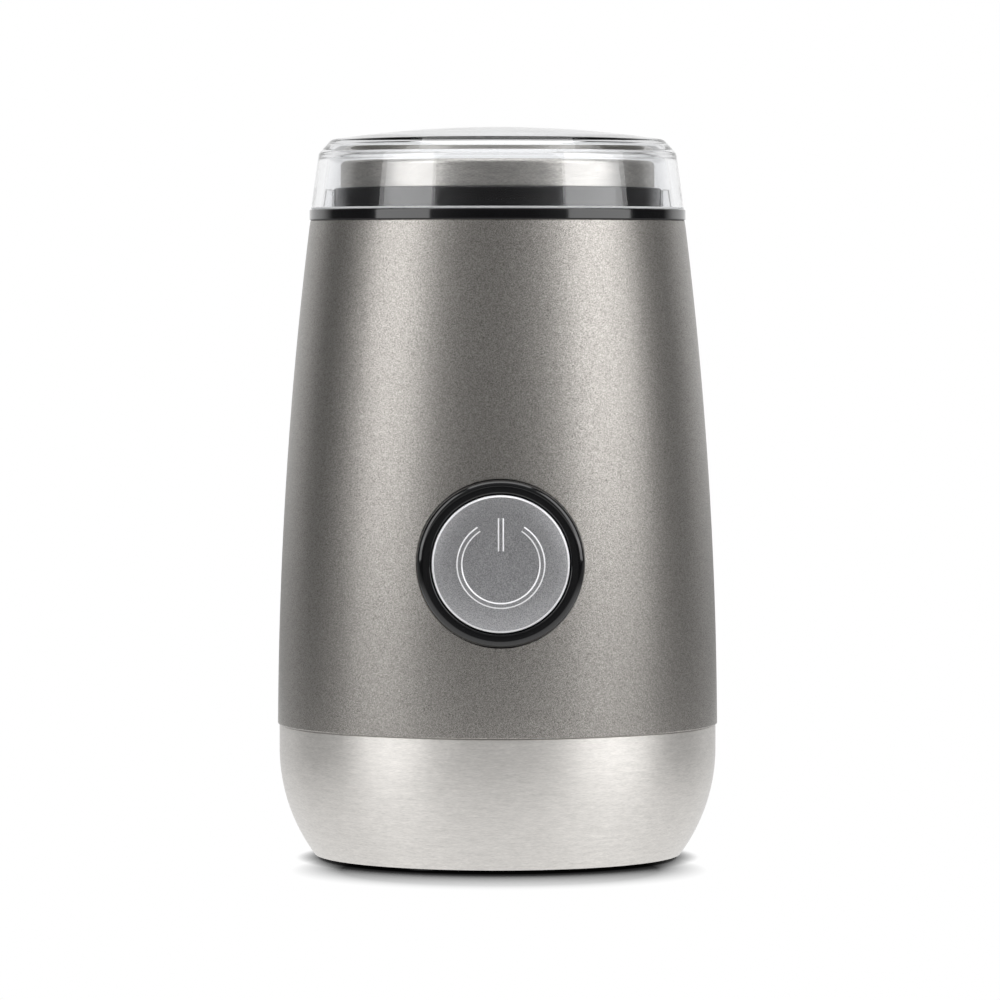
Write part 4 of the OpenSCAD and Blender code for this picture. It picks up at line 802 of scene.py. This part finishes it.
def make_button():
    """The button's cap with its skirt, flange and stem; the chamfer of its face carries a painted
    highlight in a near-white finish.
    """
    chamfer = 0.45
    face_steps = 40
    face_r = BUTTON_R - chamfer
    back = housing_r_at(BUTTON_Z) - BUTTON_BACK_DEPTH
    flange_r, flange_front = BUTTON_R + BUTTON_FLANGE_W, back + BUTTON_FLANGE_T
    skirt_in = BUTTON_R - BUTTON_SKIRT
    cap_back, stem_back = BUTTON_EDGE - BUTTON_CAP_T, -BUTTON_HIGH[1]
    face = [(face_r * i / face_steps, dome_height(face_r * i / face_steps))
            for i in range(face_steps + 1)]
    outline = (face + [(BUTTON_R, dome_height(face_r) - chamfer)]
               + [(BUTTON_R, flange_front), (flange_r, flange_front), (flange_r, back),
                  (skirt_in, back), (skirt_in, cap_back), (STEM_R, cap_back),
                  (STEM_R, stem_back), (0, stem_back)])
    obj = lathe("button_cap", outline, to_front(), closed=False)
    finish_shading(obj, 20)
    dress(obj, "start_button", "start_button", SILVER)
    # The chamfer's faces take slot 1, the painted highlight
    obj.data.materials.append(PAINTED_HIGHLIGHT_EDGE)
    edge_low = BUTTON_EDGE - chamfer * 1.2
    for face in obj.data.polygons:
        c = face.center / MM
        r = math.hypot(c.x, c.z - BUTTON_Z)
        if r > face_r + 0.02 and -c.y > edge_low:
            face.material_index = 1
    return obj


def stroke(bm, path):
    """A raised stroke along (x, up) points on the button's face, with sloped edges that carry a
    painted highlight.
    """
    half, slope, sunk = SIGN_W / 2, 0.32, -0.15
    under, foot, top = half + slope * 0.5, half + slope * 0.4, half - slope * 0.6
    section = [(-under, sunk), (-foot, 0.0), (-top, SIGN_H),
               (top, SIGN_H), (foot, 0.0), (under, sunk)]
    top_side = 2
    rows = []
    for i, (x, up) in enumerate(path):
        before = Vector(path[max(i - 1, 0)])
        after = Vector(path[min(i + 1, len(path) - 1)])
        along = (after - before).normalized()
        side = Vector((along.y, -along.x))
        row = []
        for offset, rise in section:
            p = Vector((x, up)) + side * offset
            row.append(bm.verts.new((p.x, -dome_height(p.length) - rise, BUTTON_Z + p.y)))
        rows.append(row)
    count = len(section)
    # The top side takes slot 0, the silver; the sloped sides and the ends take slot 1, the
    # painted highlight
    for a, b in zip(rows, rows[1:]):
        for k in range(count):
            n = (k + 1) % count
            face = bm.faces.new((a[k], a[n], b[n], b[k]))
            face.material_index = 0 if k == top_side else 1
    for row in (rows[0], rows[-1]):
        face = bm.faces.new(row)
        face.material_index = 1


def make_sign():
    """A plain on-off sign: a ring open at the top with a short bar in the opening."""
    bm = bmesh.new()
    stroke(bm, arc((0, 0), SIGN_R - SIGN_W / 2, 90 + SIGN_OPENING, 450 - SIGN_OPENING, 96))
    bar_low, bar_high, bar_steps = SIGN_R * 0.3, SIGN_R * 1.05, 12
    stroke(bm, [(0, bar_low + (bar_high - bar_low) * i / bar_steps)
                for i in range(bar_steps + 1)])
    obj = add_mesh("button_sign", bm, 25)
    obj.data.materials.append(SILVER)
    # Slot 1, the painted highlight, is on the strokes' sloped sides
    obj.data.materials.append(PAINTED_HIGHLIGHT_EDGE)
    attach(obj, "start_button")
    return obj


def make_spring(name, node):
    """A CAD spring copied as its own piece, in place of its hidden node."""
    mesh = frame["nodes"][node].data.copy()
    obj = bpy.data.objects.new(name, mesh)
    bpy.context.scene.collection.objects.link(obj)
    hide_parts(node)
    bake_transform(obj)
    return obj


def make_springs():
    """Both springs as pieces of their own, in place of their CAD nodes."""
    make_spring("button_coil", "button_spring")
    make_spring("interlock_coil", "interlock_spring")


make_housing()
make_base_cover()
make_collar()
make_bowl()
make_lid()
make_bezel()
make_button()
make_sign()
make_springs()

# ------------------------------------------------------------------ studio, in metres

FLOOR_HALF = 3000                           # in millimetres, as add_mesh takes it


def make_floor():
    """White to the camera, with the object's shadow painted into its glow; to shiny pieces a
    table that glows with painted light.
    """
    bm = bmesh.new()
    bmesh.ops.create_grid(bm, x_segments=1, y_segments=1, size=FLOOR_HALF)
    obj = add_mesh("floor", bm)
    n = Finish("white_floor_painted_shade_and_light")
    n.set(Base_Color=(0.86, 0.86, 0.86, 1), Roughness=0.9, Specular_IOR_Level=0.0)

    def occlusion(distance):
        node = n.add("ShaderNodeAmbientOcclusion", samples=16)
        node.inputs["Distance"].default_value = distance
        return node.outputs["AO"]

    def glow(strength):
        node = n.add("ShaderNodeEmission")
        n.link(strength, node.inputs["Strength"])
        return node.outputs[0]

    def choose(factor, shader_at_0, shader_at_1):
        node = n.add("ShaderNodeMixShader")
        n.feed(node, factor, shader_at_0, shader_at_1)
        return node.outputs[0]

    # To the camera: a painted shadow in the floor's glow. It is a close dark line all round and a
    # soft shadow under the object's front, both from occlusion, the soft one only near a point in
    # front of the middle
    painted_contact_shadow = n.remap(occlusion(0.005), 0.1, 0.85, 0.02, 1.0)
    soft = n.remap(occlusion(0.045), 0.45, 0.95, 0.05, 1.0)
    painted_shadow_centre = (0, -0.033, 0)
    painted_shadow_reach = n.remap(n.vector("DISTANCE", n.coords, painted_shadow_centre), 0.038, 0.05, 1.0, 0.0)
    # The painted soft shadow, kept near the object's front
    front = n.math("SUBTRACT", 1.0, n.math("MULTIPLY", painted_shadow_reach, n.math("SUBTRACT", 1.0, soft)))
    # The floor's glow to the camera, darkened by the painted shadow
    white = glow(n.math("MULTIPLY", painted_contact_shadow, front))
    path = n.add("ShaderNodeLightPath")
    seen = choose(path.outputs["Is Camera Ray"], n.shader.outputs[0], white)

    # To shiny pieces: the floor glows as a white table with painted light, brighter near the
    # object, darker towards the camera and to the sides
    x, y, _ = n.split()
    away = n.remap(y, -0.5, -0.12, 0.15, 1.15, smooth=True)
    beside = n.remap(n.math("ABSOLUTE", x), 0.12, 0.3, 1.0, 0.3, smooth=True)
    # Painted light: the table's glow, seen only by glossy and transmission rays
    table = glow(n.math("MULTIPLY", away, beside))
    shiny = n.math("MAXIMUM", path.outputs["Is Glossy Ray"], path.outputs["Is Transmission Ray"])
    n.link(choose(shiny, seen, table), n.tree.nodes["Material Output"].inputs["Surface"])
    obj.data.materials.append(n.mat)


def make_world():
    """White for the camera and behind the object, dim towards the camera's side."""
    world = bpy.data.worlds.new("studio")
    bpy.context.scene.world = world
    n = Nodes(world, "Generated")
    back = n.tree.nodes["Background"]
    back.inputs["Color"].default_value = (1, 1, 1, 1)
    x, y, z = n.split()                         # the direction; y is -1 at the camera's side

    def step(value, *span):
        return n.remap(value, *span, smooth=True)

    # The room is dim behind the camera, and black beside the object
    room = n.math("SUBTRACT", step(y, -1.0, -0.72, 0.05, 0.24), step(y, -0.4, 0.0, 0.0, 0.18))
    # A band of light a little above the camera, stronger on the right
    band = n.math("SUBTRACT", step(z, 0.08, 0.18, 0.0, 1.0), step(z, 0.2, 0.29, 0.0, 0.99))
    band = n.math("MULTIPLY", band, step(y, -0.4, 0.05, 1.0, 0.1))
    band = n.math("MULTIPLY", band, step(x, -0.5, 0.5, 0.7, 1.25))
    room = n.math("ADD", room, band)
    # The white screen behind the object
    screen = n.math("MULTIPLY", step(y, 0.48, 0.76, 0.0, 1.0), step(z, 0.0, 0.35, 1.0, 0.85))
    path = n.add("ShaderNodeLightPath")
    strength = n.math("MAXIMUM", n.math("MAXIMUM", room, screen), path.outputs["Is Camera Ray"])
    n.link(strength, back.inputs["Strength"])


def softbox(name, azimuth, distance, height, size, radiance):
    """A rectangular lamp aimed at the object, azimuth in degrees from -Y towards +X."""
    light = bpy.data.lights.new(name, "AREA")
    light.shape = "RECTANGLE"
    light.size, light.size_y = size
    light.energy = radiance * math.pi * size[0] * size[1]
    obj = bpy.data.objects.new(name, light)
    bpy.context.scene.collection.objects.link(obj)
    a = math.radians(azimuth)
    obj.location = (distance * math.sin(a), -distance * math.cos(a), height)
    if distance > 0:
        aim = Vector((0, 0, height)) - obj.location
        obj.rotation_euler = aim.to_track_quat("-Z", "Y").to_euler()
    return obj


def make_lights():
    """A tall lamp on each side and one straight above."""
    softbox("left_softbox", azimuth=-60, distance=0.9, height=0.72, size=(0.60, 1.3),
            radiance=2.65)
    softbox("right_softbox", azimuth=64, distance=0.9, height=0.72, size=(0.73, 1.3),
            radiance=2.65)
    softbox("top_softbox", azimuth=0, distance=0.0, height=1.1, size=(0.9, 0.9), radiance=2.4)


def make_camera():
    """Level with the upper body, 1.5 m away, turned a little to the object's left."""
    camera = bpy.data.cameras.new("camera")
    camera.sensor_width = 36
    distance, height, view_width = 1.5, 0.1446, 0.245
    camera.lens = camera.sensor_width * distance / view_width
    obj = bpy.data.objects.new("camera", camera)
    bpy.context.scene.collection.objects.link(obj)
    turn = math.radians(-0.8)
    obj.location = (distance * math.sin(turn), -distance * math.cos(turn), height)
    target = Vector((0.0006, 0, 0.0877))
    obj.rotation_euler = (target - obj.location).to_track_quat("-Z", "Y").to_euler()
    camera.clip_end = 20
    bpy.context.scene.camera = obj


make_floor()
make_world()
make_lights()
make_camera()
bpy.context.scene.view_settings.view_transform = "Standard"
